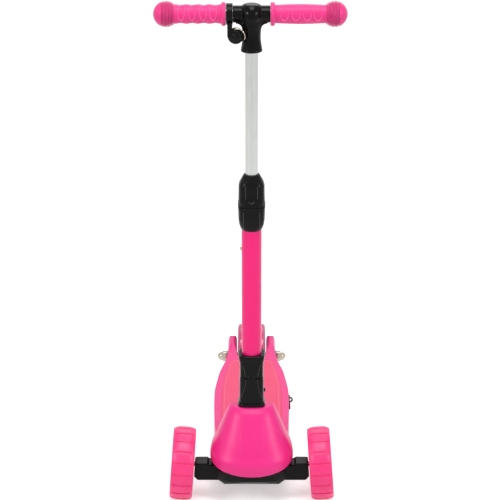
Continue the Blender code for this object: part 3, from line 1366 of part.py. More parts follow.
def tee_web_mesh(name, sign):
    """Fills the corner between an arm of the T and its neck with a hollow curve."""
    inner, low = 0.0100, BAR_AT - 0.0080
    centre = (TEE_NECK_RADIUS + TEE_WEB_RADIUS, BAR_AT - TEE_ARM_RADIUS + 0.0006 - TEE_WEB_RADIUS)
    curve = arc(centre, TEE_WEB_RADIUS, 90, 180, 4)
    outline = [(inner, low), (curve[0][0], low), *curve, (inner, curve[-1][1])]
    outline = [(sign * x, -z) for x, z in outline]
    mesh = prism_mesh(name, outline, -TEE_WEB_HALF_DEPTH, TEE_WEB_HALF_DEPTH)
    mesh.transform(Matrix.Rotation(-math.pi / 2, 4, "X"))
    return mesh


def make_tee():
    sides = 20
    quarter = stem_place(0.0, 0.0, 0.0, math.pi / sides / 2, "Z")
    tee = turned("tee_joint", TEE_PROFILE, BLACK, sides, False, quarter, STEM_FRAME)
    reach = TEE_ARM_REACH
    arms = [
        (0.0, reach),
        (TEE_ARM_RADIUS - 0.0006, reach),
        (TEE_ARM_RADIUS, reach - 0.0006),
        (TEE_ARM_RADIUS, -reach + 0.0006),
        (TEE_ARM_RADIUS - 0.0006, -reach),
        (0.0, -reach),
    ]
    boolean(tee, turned("tee_arms", arms, None, 18, False, bar_place(), STEM_FRAME), "UNION")
    face = 0.0203
    boss = [(0.0, face), (0.0065, face - 0.0009), (0.0115, face - 0.0035), (0.0150, face - 0.0080)]
    boss += [(0.0165, face - 0.0140), (0.0, face - 0.0140)]
    place = stem_place(BAR_AT, 0.0, 0.0, math.pi / 2, "X")
    boolean(tee, turned("tee_boss", boss, None, 18, False, place, STEM_FRAME), "UNION")
    for side, sign in (("left", 1), ("right", -1)):
        web = tee_web_mesh(f"tee_web_{side}", sign)
        boolean(tee, add_object(web.name, web, frame=STEM_FRAME), "UNION")
    bore = rod_mesh("tee_bar_bore", BAR_BORE, 2 * reach + 0.01, 22)
    place = bar_place() @ Matrix.Translation((0, 0, -reach - 0.005))
    boolean(tee, add_object("tee_bar_bore", bore, place=place, frame=STEM_FRAME))
    bore = rod_mesh("tee_tube_bore", UPPER_TUBE_RADIUS + GAP, TUBE_TOP_AT + GAP - TEE_BOTTOM_AT + 0.01, 22)
    place = stem_place(TEE_BOTTOM_AT - 0.01)
    boolean(tee, add_object("tee_tube_bore", bore, place=place, frame=STEM_FRAME))

    left_end, right_end = LEFT_GRIP_END - BAR_SHORT, RIGHT_GRIP_END - BAR_SHORT
    inner = BAR_RADIUS - BAR_WALL
    profile = [(BAR_RADIUS, left_end), (BAR_RADIUS, -right_end), (inner, -right_end), (inner, left_end)]
    turned("handlebar_tube", profile, SILVER, 22, True, bar_place(), STEM_FRAME)


def grip_body(start, end, waves):
    """Outer radii of the hand part, from its outer end in to its flange."""
    rows = []
    steps = 3 * waves if waves else 4
    for i in range(steps + 1):
        share = i / steps
        spot = end + (start - end) * share
        if waves:
            radius = GRIP_RADIUS - 0.0003 + 0.0006 * math.cos(2 * math.pi * waves * share)
        else:
            radius = GRIP_RADIUS - 0.0007 + 0.0013 * math.sin(math.pi * share)
        rows.append((radius, spot))
    return rows


def make_grip(name, sign, start, end, waves):
    """A hand grip with an inner flange and a ball of ring fins at its outer end."""
    ball = GRIP_BALL_RADIUS
    centre = end - ball
    ball_foot = centre - math.sqrt(ball**2 - GRIP_RADIUS**2)
    fins = 6
    pitch = (end - ball_foot) / fins

    def sphere(spot):
        return math.sqrt(max(ball**2 - (spot - centre) ** 2, 0.0))

    profile = [(0.0, end), (sphere(end - pitch * 0.15), end - pitch * 0.15)]
    for k in range(fins):
        top = end - k * pitch
        low = top - pitch * 0.6
        if k > 0:
            profile.append((sphere(top), top))
        profile.append((sphere(low), low))
        floor = min(GRIP_CORE_RADIUS, sphere(low) - 0.0012)
        profile += [(floor, low - 0.0002), (floor, top - pitch + 0.0002)]
    flange = start + 0.0067
    profile += grip_body(flange, ball_foot, waves)
    wide = GRIP_FLANGE_RADIUS
    profile += [
        (wide - 0.0012, flange - 0.0006),
        (wide, flange - 0.0020),
        (wide, start + 0.0016),
        (wide - 0.0012, start + 0.0003),
        (wide - 0.0030, start),
        (BAR_BORE, start),
        (BAR_BORE, end - BAR_SHORT + GAP),
        (0.0, end - BAR_SHORT + GAP),
    ]
    turned(name, profile, PINK_GRIP, 18, False, bar_place(sign), STEM_FRAME)


def make_bell():
    """Clamp band on the bar, round base below it, thumb plate on its post and a chrome dome on top."""
    near = TEE_ARM_REACH + GAP
    far = near + BELL_CLAMP_WIDTH - 2 * GAP
    wide = 0.0166
    band = [
        (wide - 0.0006, far),
        (wide, far - 0.0006),
        (wide, near + 0.0006),
        (wide - 0.0006, near),
        (BAR_BORE, near),
        (BAR_BORE, far),
    ]
    base = turned("bell_clamp", band, BLACK, 22, True, bar_place(-1), STEM_FRAME)
    x, y, z = BELL_SPOT
    low = (-far + 0.0018, y - 0.0030, BAR_AT + z)
    high = (-near - 0.0006, y + 0.0040, BAR_AT - BAR_BORE + 0.0012)
    arm = box_mesh("bell_arm", low, high)
    boolean(base, add_object("bell_arm", arm, frame=STEM_FRAME), "UNION")
    side = (Vector((1.0, 0.0, 0.0)) - BELL_AXIS.x * BELL_AXIS).normalized()
    turn = Matrix((side, BELL_AXIS.cross(side), BELL_AXIS)).transposed()
    place = stem_place(BAR_AT + z, x, y) @ turn.to_4x4()
    half, r = BELL_BASE_HEIGHT / 2, BELL_RADIUS
    post_top = half + GAP + BELL_PLATE_THICKNESS + BELL_DOME_HEIGHT - 0.0015
    cup = [
        (0.0, post_top),
        (BELL_POST_RADIUS, post_top),
        (BELL_POST_RADIUS, half),
        (r, half),
        (r, -half + 0.0035),
        (r - 0.0012, -half + 0.0012),
        (r - 0.0042, -half),
        (0.0, -half),
    ]
    boolean(base, turned("bell_cup", cup, None, 20, False, place, STEM_FRAME), "UNION")
    bored = rod_mesh("bell_plate_space", r + 0.0008, 0.016, 20)
    top_place = place @ Matrix.Translation((0, 0, half))
    ring = add_object("bell_plate_space", bored, place=top_place, frame=STEM_FRAME)
    core = rod_mesh("bell_post_keep", BELL_POST_RADIUS, 0.03, 20)
    keep_place = place @ Matrix.Translation((0, 0, half - 0.005))
    boolean(ring, add_object("bell_post_keep", core, place=keep_place, frame=STEM_FRAME))
    boolean(base, ring)
    smooth(base)

    foot = half + GAP
    plate = rod_mesh("bell_lever", r - 0.0008, BELL_PLATE_THICKNESS, 20)
    plate_place = place @ Matrix.Translation((0, 0, foot))
    lever = add_object("bell_lever", plate, BLACK, plate_place, STEM_FRAME)
    tab = box_mesh("bell_tab", (0.004, -0.0022, 0.0), (0.0150, 0.0022, BELL_PLATE_THICKNESS))
    boolean(lever, add_object("bell_tab", tab, place=plate_place, frame=STEM_FRAME), "UNION")
    bore = rod_mesh("bell_lever_bore", BELL_POST_RADIUS + GAP, 0.01, 20)
    bore_place = place @ Matrix.Translation((0, 0, foot - 0.004))
    boolean(lever, add_object("bell_lever_bore", bore, place=bore_place, frame=STEM_FRAME))

    foot += BELL_PLATE_THICKNESS + GAP
    rise, wall = BELL_DOME_HEIGHT, 0.0010
    dome = []
    for i in range(5):
        a = math.radians(90 - 90 * i / 4)
        dome.append((r * math.cos(a), foot + 0.0012 + rise * math.sin(a)))
    dome[0] = (0.0, dome[0][1])
    dome.append((r, foot))
    dome.append((r - wall, foot))
    for i in range(5):
        a = math.radians(90 * i / 4)
        dome.append(((r - wall) * math.cos(a), foot + 0.0012 + (rise - wall) * math.sin(a)))
    dome[-1] = (0.0, dome[-1][1])
    turned("bell_dome", dome, CHROME, 22, False, place, STEM_FRAME)


def build():
    make_front_wheel("left", 1)
    make_front_wheel("right", -1)
    make_rear_wheel()
    make_deck()
    make_side_fittings()
    make_deck_insides()
    make_fender()
    make_bonnet()
    make_chassis()
    make_pivot()
    make_beam()
    make_tray()
    make_stem_base()
    make_fold_knuckle()
    make_tubes()
    make_collars()
    make_tee()
    make_grip("grip_left", 1, TEE_ARM_REACH + GAP, LEFT_GRIP_END, 0)
    make_grip("grip_right", -1, TEE_ARM_REACH + BELL_CLAMP_WIDTH + GAP, RIGHT_GRIP_END, 4)
    make_bell()


build()
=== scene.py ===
import json
import math

import bmesh
import bpy
from mathutils import Matrix, Vector


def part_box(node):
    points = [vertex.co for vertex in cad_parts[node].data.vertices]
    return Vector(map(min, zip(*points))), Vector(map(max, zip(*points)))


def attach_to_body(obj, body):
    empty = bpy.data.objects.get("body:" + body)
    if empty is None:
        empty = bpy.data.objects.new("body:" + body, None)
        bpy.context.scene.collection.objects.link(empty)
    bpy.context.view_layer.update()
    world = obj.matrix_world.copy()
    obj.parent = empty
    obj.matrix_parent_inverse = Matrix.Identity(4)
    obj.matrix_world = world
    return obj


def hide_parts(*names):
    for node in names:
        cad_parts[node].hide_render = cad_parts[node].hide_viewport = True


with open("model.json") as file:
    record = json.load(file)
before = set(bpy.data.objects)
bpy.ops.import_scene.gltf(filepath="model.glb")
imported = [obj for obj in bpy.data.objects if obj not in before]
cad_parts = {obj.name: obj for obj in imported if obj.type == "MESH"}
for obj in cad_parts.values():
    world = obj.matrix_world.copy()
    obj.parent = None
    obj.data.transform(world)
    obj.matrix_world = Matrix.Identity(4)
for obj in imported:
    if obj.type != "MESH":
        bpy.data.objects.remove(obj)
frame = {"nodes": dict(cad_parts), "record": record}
nodes = frame["nodes"]
bodies = frame["record"]["behaviour"]["bodies"]
bodyOf = {node: body for body, members in bodies.items() for node in members}
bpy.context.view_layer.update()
print("frame loaded:", len(nodes), "nodes")


def toLinear(hexText):
    channels = [int(hexText[i : i + 2], 16) / 255 for i in (0, 2, 4)]
    curve = [c / 12.92 if c <= 0.04045 else ((c + 0.055) / 1.055) ** 2.4 for c in channels]
    return (*curve, 1.0)


def addNode(tree, kind, settings=None, links=None):
    node = tree.nodes.new(kind)
    for key, value in (settings or {}).items():
        if isinstance(key, int) or key in node.inputs:
            node.inputs[key].default_value = value
        else:
            setattr(node, key, value)
    for key, socket in (links or {}).items():
        tree.links.new(socket, node.inputs[key])
    return node


def startMaterial(name, surface):
    # one shader wired to the output; its patterns are laid in the object's own metres
    material = bpy.data.materials.new(name)
    material.use_nodes = True
    tree = material.node_tree
    tree.nodes.clear()
    shader = addNode(tree, "ShaderNodeBsdfPrincipled", surface)
    addNode(tree, "ShaderNodeOutputMaterial", links={"Surface": shader.outputs["BSDF"]})
    place = addNode(tree, "ShaderNodeTexCoord").outputs["Object"]
    return material, tree, shader, place


# how the surfaces wear: relief of the grain, hairline rubs, smudges and brush lines
wear = {
    "reliefShare": 0.35,
    "rubStretch": (1.0, 9.0, 3.0),
    "rubGap": 0.010,
    "rubSpan": (0.35, 0.75),
    "smudgeScale": 45.0,
    "smudgeSpan": (0.3, 0.7),
    "brushShare": 0.2,
    "brushHeight": 0.00002,
}


def fineSkin(tree, place, grain, grainHeight, blotch):
    # a fine moulded grain as bump, and a broad blotch of flow marks, both in real metres
    fine = addNode(tree, "ShaderNodeTexNoise", {"Scale": 1 / grain, "Detail": 3.0}, {"Vector": place})
    broad = addNode(tree, "ShaderNodeTexNoise", {"Scale": 1 / blotch, "Detail": 2.0}, {"Vector": place})
    relief = {"Strength": wear["reliefShare"], "Distance": grainHeight}
    bump = addNode(tree, "ShaderNodeBump", relief, {"Height": fine.outputs["Fac"]})
    return broad, bump


def dressShader(tree, shader, shades, rough, drift, gloss, bump, span=(0.0, 1.0)):
    # the colour drifts between two close shades, and the gloss follows a pattern of its own
    mixed = {"data_type": "RGBA", 6: toLinear(shades[0]), 7: toLinear(shades[1])}
    colour = addNode(tree, "ShaderNodeMix", mixed, {"Factor": drift.outputs["Fac"]})
    limits = {"From Min": span[0], "From Max": span[1], "To Min": rough[0], "To Max": rough[1]}
    worn = addNode(tree, "ShaderNodeMapRange", limits, {"Value": gloss.outputs["Fac"]})
    tree.links.new(colour.outputs[2], shader.inputs["Base Color"])
    tree.links.new(worn.outputs["Result"], shader.inputs["Roughness"])
    tree.links.new(bump.outputs["Normal"], shader.inputs["Normal"])


def mouldedPlastic(name, surface, shades, rough, grain, grainHeight, blotch):
    # injection moulded: a faint eroded grain, soft flow marks and a few hairline rubs in the gloss
    material, tree, shader, place = startMaterial(name, surface)
    broad, bump = fineSkin(tree, place, grain, grainHeight, blotch)
    rubs = addNode(tree, "ShaderNodeMapping", {"Scale": wear["rubStretch"]}, {"Vector": place})
    fineness = {"Scale": 1 / wear["rubGap"], "Detail": 4.0}
    hair = addNode(tree, "ShaderNodeTexNoise", fineness, {"Vector": rubs.outputs["Vector"]})
    dressShader(tree, shader, shades, rough, broad, hair, bump, wear["rubSpan"])
    return material


def powderCoat(name, surface, shades, rough, grain, grainHeight, blotch):
    # sprayed and baked paint: one even coat with a gentle orange peel
    material, tree, shader, place = startMaterial(name, surface)
    broad, bump = fineSkin(tree, place, grain, grainHeight, blotch)
    dressShader(tree, shader, shades, rough, broad, broad, bump)
    return material


def brushedMetal(name, surface, shades, rough, lines):
    # drawn or turned metal: fine lines along one direction that stretch the highlight
    material, tree, shader, place = startMaterial(name, surface)
    drawn = addNode(tree, "ShaderNodeMapping", {"Scale": lines}, {"Vector": place}).outputs["Vector"]
    brush = addNode(tree, "ShaderNodeTexNoise", {"Scale": 1.0, "Detail": 5.0}, {"Vector": drawn})
    broad = {"Scale": wear["smudgeScale"], "Detail": 2.0}
    smudge = addNode(tree, "ShaderNodeTexNoise", broad, {"Vector": place})
    relief = {"Strength": wear["brushShare"], "Distance": wear["brushHeight"]}
    bump = addNode(tree, "ShaderNodeBump", relief, {"Height": brush.outputs["Fac"]})
    dressShader(tree, shader, shades, rough, brush, smudge, bump, wear["smudgeSpan"])
    return material


# shell plastic: a wide soft highlight over an even, saturated pink
hotPinkAbs = mouldedPlastic(
    "hotPinkAbs",
    {"IOR": 1.53, "Specular IOR Level": 0.35},
    ("ea2180", "f32d8b"),
    (0.34, 0.44),
    grain=0.0007, grainHeight=0.00004, blotch=0.045,
)
# baked paint on the tube: deeper than the plastic, with one clean streak of light down its length
pinkEnamel = powderCoat(
    "pinkPowderCoat",
    {"IOR": 1.5, "Specular IOR Level": 0.3},
    ("f01373", "f81b7c"),
    (0.24, 0.32),
    grain=0.0015, grainHeight=0.00003, blotch=0.05,
)
# grip rubber: nearly matt, with a faint bloom where the round turns away
gripRubber = mouldedPlastic(
    "pinkGripRubber",
    {"IOR": 1.5, "Sheen Weight": 0.15, "Sheen Roughness": 0.5},
    ("e01f79", "eb2c86"),
    (0.46, 0.56),
    grain=0.0006, grainHeight=0.00005, blotch=0.02,
)
# mat rubber: matt and warmer than the shell round it
coralMat = mouldedPlastic(
    "coralRubberMat",
    {"IOR": 1.5, "Sheen Weight": 0.2, "Sheen Roughness": 0.6},
    ("ec3269", "f43f75"),
    (0.62, 0.75),
    grain=0.0009, grainHeight=0.00010, blotch=0.03,
)
# cast tyre and hub: light sinks in a little, so the grooves glow and don't go black
pinkPolyurethane = mouldedPlastic(
    "castPinkPolyurethane",
    {"IOR": 1.5, "Subsurface Weight": 0.08, "Subsurface Scale": 0.004},
    ("f02b78", "f93a84"),
    (0.36, 0.48),
    grain=0.0012, grainHeight=0.00004, blotch=0.03,
)
# clear rear tyre: pale, glassy at the rim and milky towards the core
palePolyurethane = mouldedPlastic(
    "clearPinkPolyurethane",
    {"IOR": 1.49, "Transmission Weight": 0.12, "Subsurface Weight": 0.15, "Subsurface Scale": 0.004},
    ("f0749f", "f78bb1"),
    (0.22, 0.34),
    grain=0.0030, grainHeight=0.00001, blotch=0.03,
)
# gloss black tee: black with small hard highlights
glossBlackAbs = mouldedPlastic(
    "glossBlackAbs",
    {"IOR": 1.53, "Specular IOR Level": 0.1},
    ("050505", "0a0a0a"),
    (0.14, 0.22),
    grain=0.0010, grainHeight=0.00001, blotch=0.03,
)
# satin black: the highlight spreads, so the ribs and collars read as soft grey on black
satinBlackAbs = mouldedPlastic(
    "satinBlackAbs",
    {"IOR": 1.53, "Specular IOR Level": 0.1},
    ("090909", "101010"),
    (0.24, 0.34),
    grain=0.0006, grainHeight=0.00005, blotch=0.03,
)
# polished black knuckle: between the two, with a tight streak down each edge
gloveBlack = mouldedPlastic(
    "polishedBlackAbs",
    {"IOR": 1.53, "Specular IOR Level": 0.1},
    ("060606", "0c0c0c"),
    (0.16, 0.24),
    grain=0.0010, grainHeight=0.00001, blotch=0.03,
)
# black ridges painted pale grey: a painted highlight along the moulded lines, which stand out grey from the
# black round them; the tray screws share this dark grey
darkGreyAndPaintedHighlight = mouldedPlastic(
    "darkGreyAndPaintedHighlightAbs",
    {"IOR": 1.53, "Specular IOR Level": 0.3},
    ("2a2a2a", "3a3a3a"),
    (0.2, 0.3),
    grain=0.0010, grainHeight=0.00001, blotch=0.004,
)
# rubber ridges: paler than the grip as a painted highlight, and a touch shinier
gripLoopPaintedHighlight = mouldedPlastic(
    "pinkRubberPaintedHighlight",
    {"IOR": 1.5, "Sheen Weight": 0.2, "Sheen Roughness": 0.5},
    ("f0469a", "f857a4"),
    (0.4, 0.5),
    grain=0.0006, grainHeight=0.00003, blotch=0.01,
)
# the mat's raised line: paler than the mat round it
matLine = mouldedPlastic(
    "coralRubberLine",
    {"IOR": 1.5},
    ("ff7f9f", "ff8cab"),
    (0.55, 0.7),
    grain=0.0009, grainHeight=0.00006, blotch=0.03,
)
# black rubber: dull, with no clear highlight
blackRubber = mouldedPlastic(
    "blackRubber",
    {"IOR": 1.5, "Sheen Weight": 0.1},
    ("131313", "1e1e1e"),
    (0.6, 0.75),
    grain=0.0008, grainHeight=0.00006, blotch=0.02,
)
# nylon bushes: waxy off-white that light enters
whiteNylon = mouldedPlastic(
    "whiteNylon",
    {"IOR": 1.53, "Subsurface Weight": 0.1, "Subsurface Scale": 0.003},
    ("dcdcd8", "e8e8e4"),
    (0.38, 0.5),
    grain=0.0008, grainHeight=0.00004, blotch=0.02,
)
# clear tinted fender: one sees the wheel dimly through it, under a sharp highlight
fenderPlastic = mouldedPlastic(
    "clearPinkPolycarbonate",
    {"IOR": 1.5, "Transmission Weight": 0.35},
    ("d64d82", "e06593"),
    (0.08, 0.16),
    grain=0.0012, grainHeight=0.00001, blotch=0.04,
)
# red lens of the charging light: deep and glassy
lampLens = mouldedPlastic(
    "redLampLens",
    {"IOR": 1.49, "Transmission Weight": 0.4},
    ("a81212", "c21a1a"),
    (0.1, 0.2),
    grain=0.0005, grainHeight=0.00002, blotch=0.004,
)
# shrink wrap of the battery: a tight blue film with broad wrinkles
batteryWrap = mouldedPlastic(
    "blueShrinkWrap",
    {"IOR": 1.5},
    ("1c4f92", "2560a8"),
    (0.22, 0.36),
    grain=0.0040, grainHeight=0.00012, blotch=0.03,
)
# drawn tube: silver with long fine lines, so its sides fall off from white to grey
anodisedAluminium = brushedMetal(
    "anodisedAluminium",
    {"Metallic": 1.0},
    ("b6b8b6", "cdcfcb"),
    (0.26, 0.36),
    (900.0, 900.0, 14.0),
)
# plated nuts, button and bell: a near mirror that picks up the pink round it; its dark, warm base tint is a
# painted reflection of darker surroundings
chromePlate = brushedMetal(
    "chromePlate",
    {"Metallic": 1.0},
    ("aca294", "c4bbad"),
    (0.04, 0.09),
    (300.0, 300.0, 300.0),
)
# zinc plated bolts and bearings: pale grey with a dull shine
zincSteel = brushedMetal(
    "zincPlatedSteel",
    {"Metallic": 1.0},
    ("a3a5a8", "bcbec0"),
    (0.28, 0.42),
    (500.0, 500.0, 500.0),
)
# windings of the motor: lacquered copper, lined the way the wire lies
copperWire = brushedMetal(
    "enamelledCopper",
    {"Metallic": 1.0, "Coat Weight": 0.5},
    ("a8562a", "c4703c"),
    (0.26, 0.4),
    (1400.0, 60.0, 60.0),
)
# cast case of the controller: dull grey metal
castAluminium = brushedMetal(
    "castAluminium",
    {"Metallic": 1.0},
    ("94979b", "a9acb0"),
    (0.4, 0.55),
    (700.0, 700.0, 700.0),
)
print("materials made:", len(bpy.data.materials))


def clearSelection():
    if bpy.context.mode != "OBJECT":
        bpy.ops.object.mode_set(mode="OBJECT")
    bpy.ops.object.select_all(action="DESELECT")


def pick(piece):
    clearSelection()
    piece.select_set(True)
    bpy.context.view_layer.objects.active = piece


def startEdit(piece, select=True):
    pick(piece)
    bpy.ops.object.mode_set(mode="EDIT")
    bpy.ops.mesh.select_all(action="SELECT" if select else "DESELECT")


def settle(piece, place=None):
    # puts the piece's place into its mesh and leaves its object at the origin
    if place is not None:
        piece.matrix_world = place @ piece.matrix_world
        bpy.context.view_layer.update()
    pick(piece)
    bpy.ops.object.transform_apply(location=True, rotation=True, scale=True)
    return piece


def rightSides(piece):
    startEdit(piece)
    bpy.ops.mesh.remove_doubles(threshold=0.000001)
    bpy.ops.mesh.normals_make_consistent(inside=False)
    bpy.ops.object.mode_set(mode="OBJECT")


def spinPiece(name, profile, steps, place, closed=False):
    # draws the half section as a chain of edges, (radius, along), and spins it once round
    clearSelection()
    bpy.ops.mesh.primitive_plane_add(size=0.002)
    piece = bpy.context.object
    piece.name = name
    startEdit(piece)
    bpy.ops.mesh.merge(type="CENTER")
    bpy.ops.transform.translate(value=(profile[0][0], 0, profile[0][1]))
    for (nearR, nearZ), (farR, farZ) in zip(profile, profile[1:]):
        bpy.ops.mesh.extrude_region_move(TRANSFORM_OT_translate={"value": (farR - nearR, 0, farZ - nearZ)})
    if closed:
        value = (profile[0][0] - profile[-1][0], 0, profile[0][1] - profile[-1][1])
        bpy.ops.mesh.extrude_region_move(TRANSFORM_OT_translate={"value": value})
    bpy.ops.mesh.select_all(action="SELECT")
    bpy.ops.mesh.remove_doubles(threshold=0.000001)
    bpy.ops.mesh.spin(steps=steps, angle=2 * math.pi, center=(0, 0, 0), axis=(0, 0, 1))
    bpy.ops.object.mode_set(mode="OBJECT")
    rightSides(piece)
    return settle(piece, place)


def loftPiece(name, rings, place=None, capStart=True, capEnd=True):
    # a round of points is extruded up from ring to ring and shaped at each one
    clearSelection()
    bpy.ops.mesh.primitive_circle_add(vertices=len(rings[0]), radius=0.01)
    piece = bpy.context.object
    piece.name = name
    startEdit(piece)
    shape = bmesh.from_edit_mesh(piece.data)
    shape.verts.ensure_lookup_table()
    line = list(shape.verts)
    for vert, spot in zip(line, rings[0]):
        vert.co = spot
    if capStart:
        bpy.ops.mesh.edge_face_add()
        shape = bmesh.from_edit_mesh(piece.data)
        shape.verts.ensure_lookup_table()
        line = list(shape.verts)
    for ring in rings[1:]:
        order = {tuple(vert.co): i for i, vert in enumerate(line)}
        bpy.ops.mesh.select_all(action="DESELECT")
        shape = bmesh.from_edit_mesh(piece.data)
        for vert in line:
            vert.select = True
        shape.select_flush(True)
        for face in shape.faces:
            face.select = False
        for edge in shape.edges:
            if edge.verts[0] in line and edge.verts[1] in line:
                edge.select = True
        bpy.ops.mesh.extrude_edges_move()
        shape = bmesh.from_edit_mesh(piece.data)
        fresh = [vert for vert in shape.verts if vert.select]
        line = sorted(fresh, key=lambda vert: order[tuple(vert.co)])
        for vert, spot in zip(line, ring):
            vert.co = spot
    if capEnd:
        bpy.ops.mesh.edge_face_add()
    bpy.ops.object.mode_set(mode="OBJECT")
    rightSides(piece)
    return settle(piece, place)


def joinCut(piece, other, operation="DIFFERENCE"):
    # a Boolean applied at once; the other solid is used up
    pick(piece)
    modifier = piece.modifiers.new(operation.lower(), "BOOLEAN")
    modifier.operation = operation
    modifier.solver = "EXACT"
    modifier.object = other
    bpy.ops.object.modifier_apply(modifier=modifier.name)
    bpy.data.objects.remove(other)


def softEdges(piece, width, segments=3, angle=32.0):
    # rounds every sharp edge by a small real radius, then shades the rounds smooth
    pick(piece)
    modifier = piece.modifiers.new("softEdges", "BEVEL")
    modifier.width = width
    modifier.segments = segments
    modifier.limit_method = "ANGLE"
    modifier.angle_limit = math.radians(angle)
    modifier.harden_normals = False
    bpy.ops.object.modifier_apply(modifier=modifier.name)


def finish(piece, material, slotName, stands, angle=35.0):
    # a piece that stands for CAD nodes, and rides the body they are on
    attach(piece, material, slotName, bodyOf[stands[0]], angle)
    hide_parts(*stands)


def attach(piece, material, slotName, body, angle=35.0):
    pick(piece)
    bpy.ops.object.shade_smooth_by_angle(angle=math.radians(angle))
    piece.data.materials.clear()
    piece.data.materials.append(material)
    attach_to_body(piece, body)


def rodPiece(name, radius, length, place, sides=32):
    clearSelection()
    bpy.ops.mesh.primitive_cylinder_add(vertices=sides, radius=radius, depth=length)
    piece = bpy.context.object
    piece.name = name
    piece.data.transform(Matrix.Translation((0, 0, length / 2)))
    return settle(piece, place)


def boxPiece(name, low, high, place=None):
    clearSelection()
    middle = [(a + b) / 2 for a, b in zip(low, high)]
    bpy.ops.mesh.primitive_cube_add(size=1.0, location=middle)
    piece = bpy.context.object
    piece.name = name
    piece.scale = [b - a for a, b in zip(low, high)]
    settle(piece)
    return settle(piece, place) if place is not None else piece


def arcPoints(centre, radius, start, stop, steps):
    turns = [math.radians(start + (stop - start) * i / steps) for i in range(steps + 1)]
    return [(centre[0] + radius * math.cos(a), centre[1] + radius * math.sin(a)) for a in turns]


def blendStep(share):
    share = min(max(share, 0.0), 1.0)
    return share * share * (3 - 2 * share)


def alongRows(rows, value):
    if value <= rows[0][0]:
        return rows[0][1:]
    for low, high in zip(rows, rows[1:]):
        if value <= high[0]:
            share = (value - low[0]) / (high[0] - low[0])
            return tuple(a + (b - a) * share for a, b in zip(low[1:], high[1:]))
    return rows[-1][1:]


yFront = -0.2025
yRear = 0.2095
stemFrame = Matrix.Translation((0.0, -0.1745, 0.157)) @ Matrix.Rotation(math.radians(-3.0), 4, "X")
sideName = {1: "left", -1: "right"}
across = Matrix.Rotation(math.pi / 2, 4, "Y")
axleHeight = 0.0528
fenderPin = (yFront + 0.412 - 0.0575, 0.077)


def stemPlace(distance, x=0.0, y=0.0, turn=0.0, about="X"):
    return stemFrame @ Matrix.Translation((x, y, distance)) @ Matrix.Rotation(turn, 4, about)


def heightsAlong(rows, stepsFor):
    # divides each stretch between two rows; the last row itself is left to the caller
    for low, high in zip(rows, rows[1:]):
        steps = stepsFor(high[0] - low[0])
        for k in range(steps):
            yield low[0] + (high[0] - low[0]) * k / steps


def roundedRing(halfX, halfY, power, height, points=64):
    ring = []
    for i in range(points):
        angle = 2 * math.pi * i / points
        c, s = math.cos(angle), math.sin(angle)
        x = halfX * math.copysign(abs(c) ** (2 / power), c)
        y = halfY * math.copysign(abs(s) ** (2 / power), s)
        ring.append((x, y, height))
    return ring


def smoothNode(node, material, slotName):
    # a copy of the CAD node, merged and with soft shading over its rounded faces
    piece = bpy.data.objects.new(node + "_skin", nodes[node].data.copy())
    bpy.context.scene.collection.objects.link(piece)
    pick(piece)
    bpy.ops.mesh.customdata_custom_splitnormals_clear()
    startEdit(piece)
    bpy.ops.mesh.remove_doubles(threshold=0.000001)
    bpy.ops.object.mode_set(mode="OBJECT")
    finish(piece, material, slotName, [node], 32.0)


finishes = (
    (satinBlackAbs, "black_plastic", "front_tray front_beam chassis_bracket deck_base_cover"),
    (batteryWrap, "battery_wrap", "battery_pack"),
    (castAluminium, "aluminium_controller_case", "motor_controller"),
    (zincSteel, "zinc_plated_steel", "fold_hinge_pin"),
    (satinBlackAbs, "black_plastic", "fold_release_button"),
    (zincSteel, "zinc_plated_steel", "pivot_pin pivot_nut"),
    (whiteNylon, "white_plastic", "pivot_bush_lower pivot_bush_upper"),
    (zincSteel, "zinc_plated_steel", "front_bearing_inner_left front_bearing_inner_right"),
    (zincSteel, "zinc_plated_steel", "front_bearing_outer_left front_bearing_outer_right"),
    (pinkPolyurethane, "pink_wheel_core", "front_hub_left front_hub_right"),
    (zincSteel, "zinc_plated_steel", "motor_shell motor_cover"),
    (copperWire, "copper_winding", "motor_stator"),
    (zincSteel, "zinc_plated_steel", "rear_axle rear_bearing_left rear_bearing_right"),
    (blackRubber, "black_plastic", "axle_washer_left axle_washer_right"),
    (zincSteel, "zinc_plated_steel", "fender_pin"),
    (satinBlackAbs, "black_plastic", "charge_port"),
    (lampLens, "red_lamp_lens", "charge_light"),
    (whiteNylon, "white_plastic", "guide_bush"),
    (chromePlate, "chrome", "snap_button"),
    (anodisedAluminium, "anodised_aluminium", "handlebar_tube"),
    (satinBlackAbs, "black_plastic", "bell_clamp"),
    (chromePlate, "chrome", "bell_dome"),
    (satinBlackAbs, "black_plastic", "bell_lever"),
)
for material, slotName, members in finishes:
    for node in members.split():
        smoothNode(node, material, slotName)
print("nodes dressed:", sum(len(members.split()) for _, _, members in finishes))


teeShape = {
    "barAt": 0.6454,
    "topAt": 0.6618,
    "bottomAt": 0.5877,
    "armRadius": 0.0132,
    "armReach": 0.0284,
    "barBore": 0.0113,
    "tubeBore": 0.0103,
    "web": (0.0060, 0.0138, 0.0080, 0.0100, 0.0085),
    "boss": [(0.0, 0.0203), (0.0060, 0.0196), (0.0105, 0.0172), (0.0138, 0.0135), (0.0155, 0.0090)],
    "sides": 48,
    "voxel": 0.0007,
    "blend": 0.5,
    "blendRounds": 7,
}


def barPlace(sign):
    return stemPlace(teeShape["barAt"], turn=sign * math.pi / 2, about="Y")


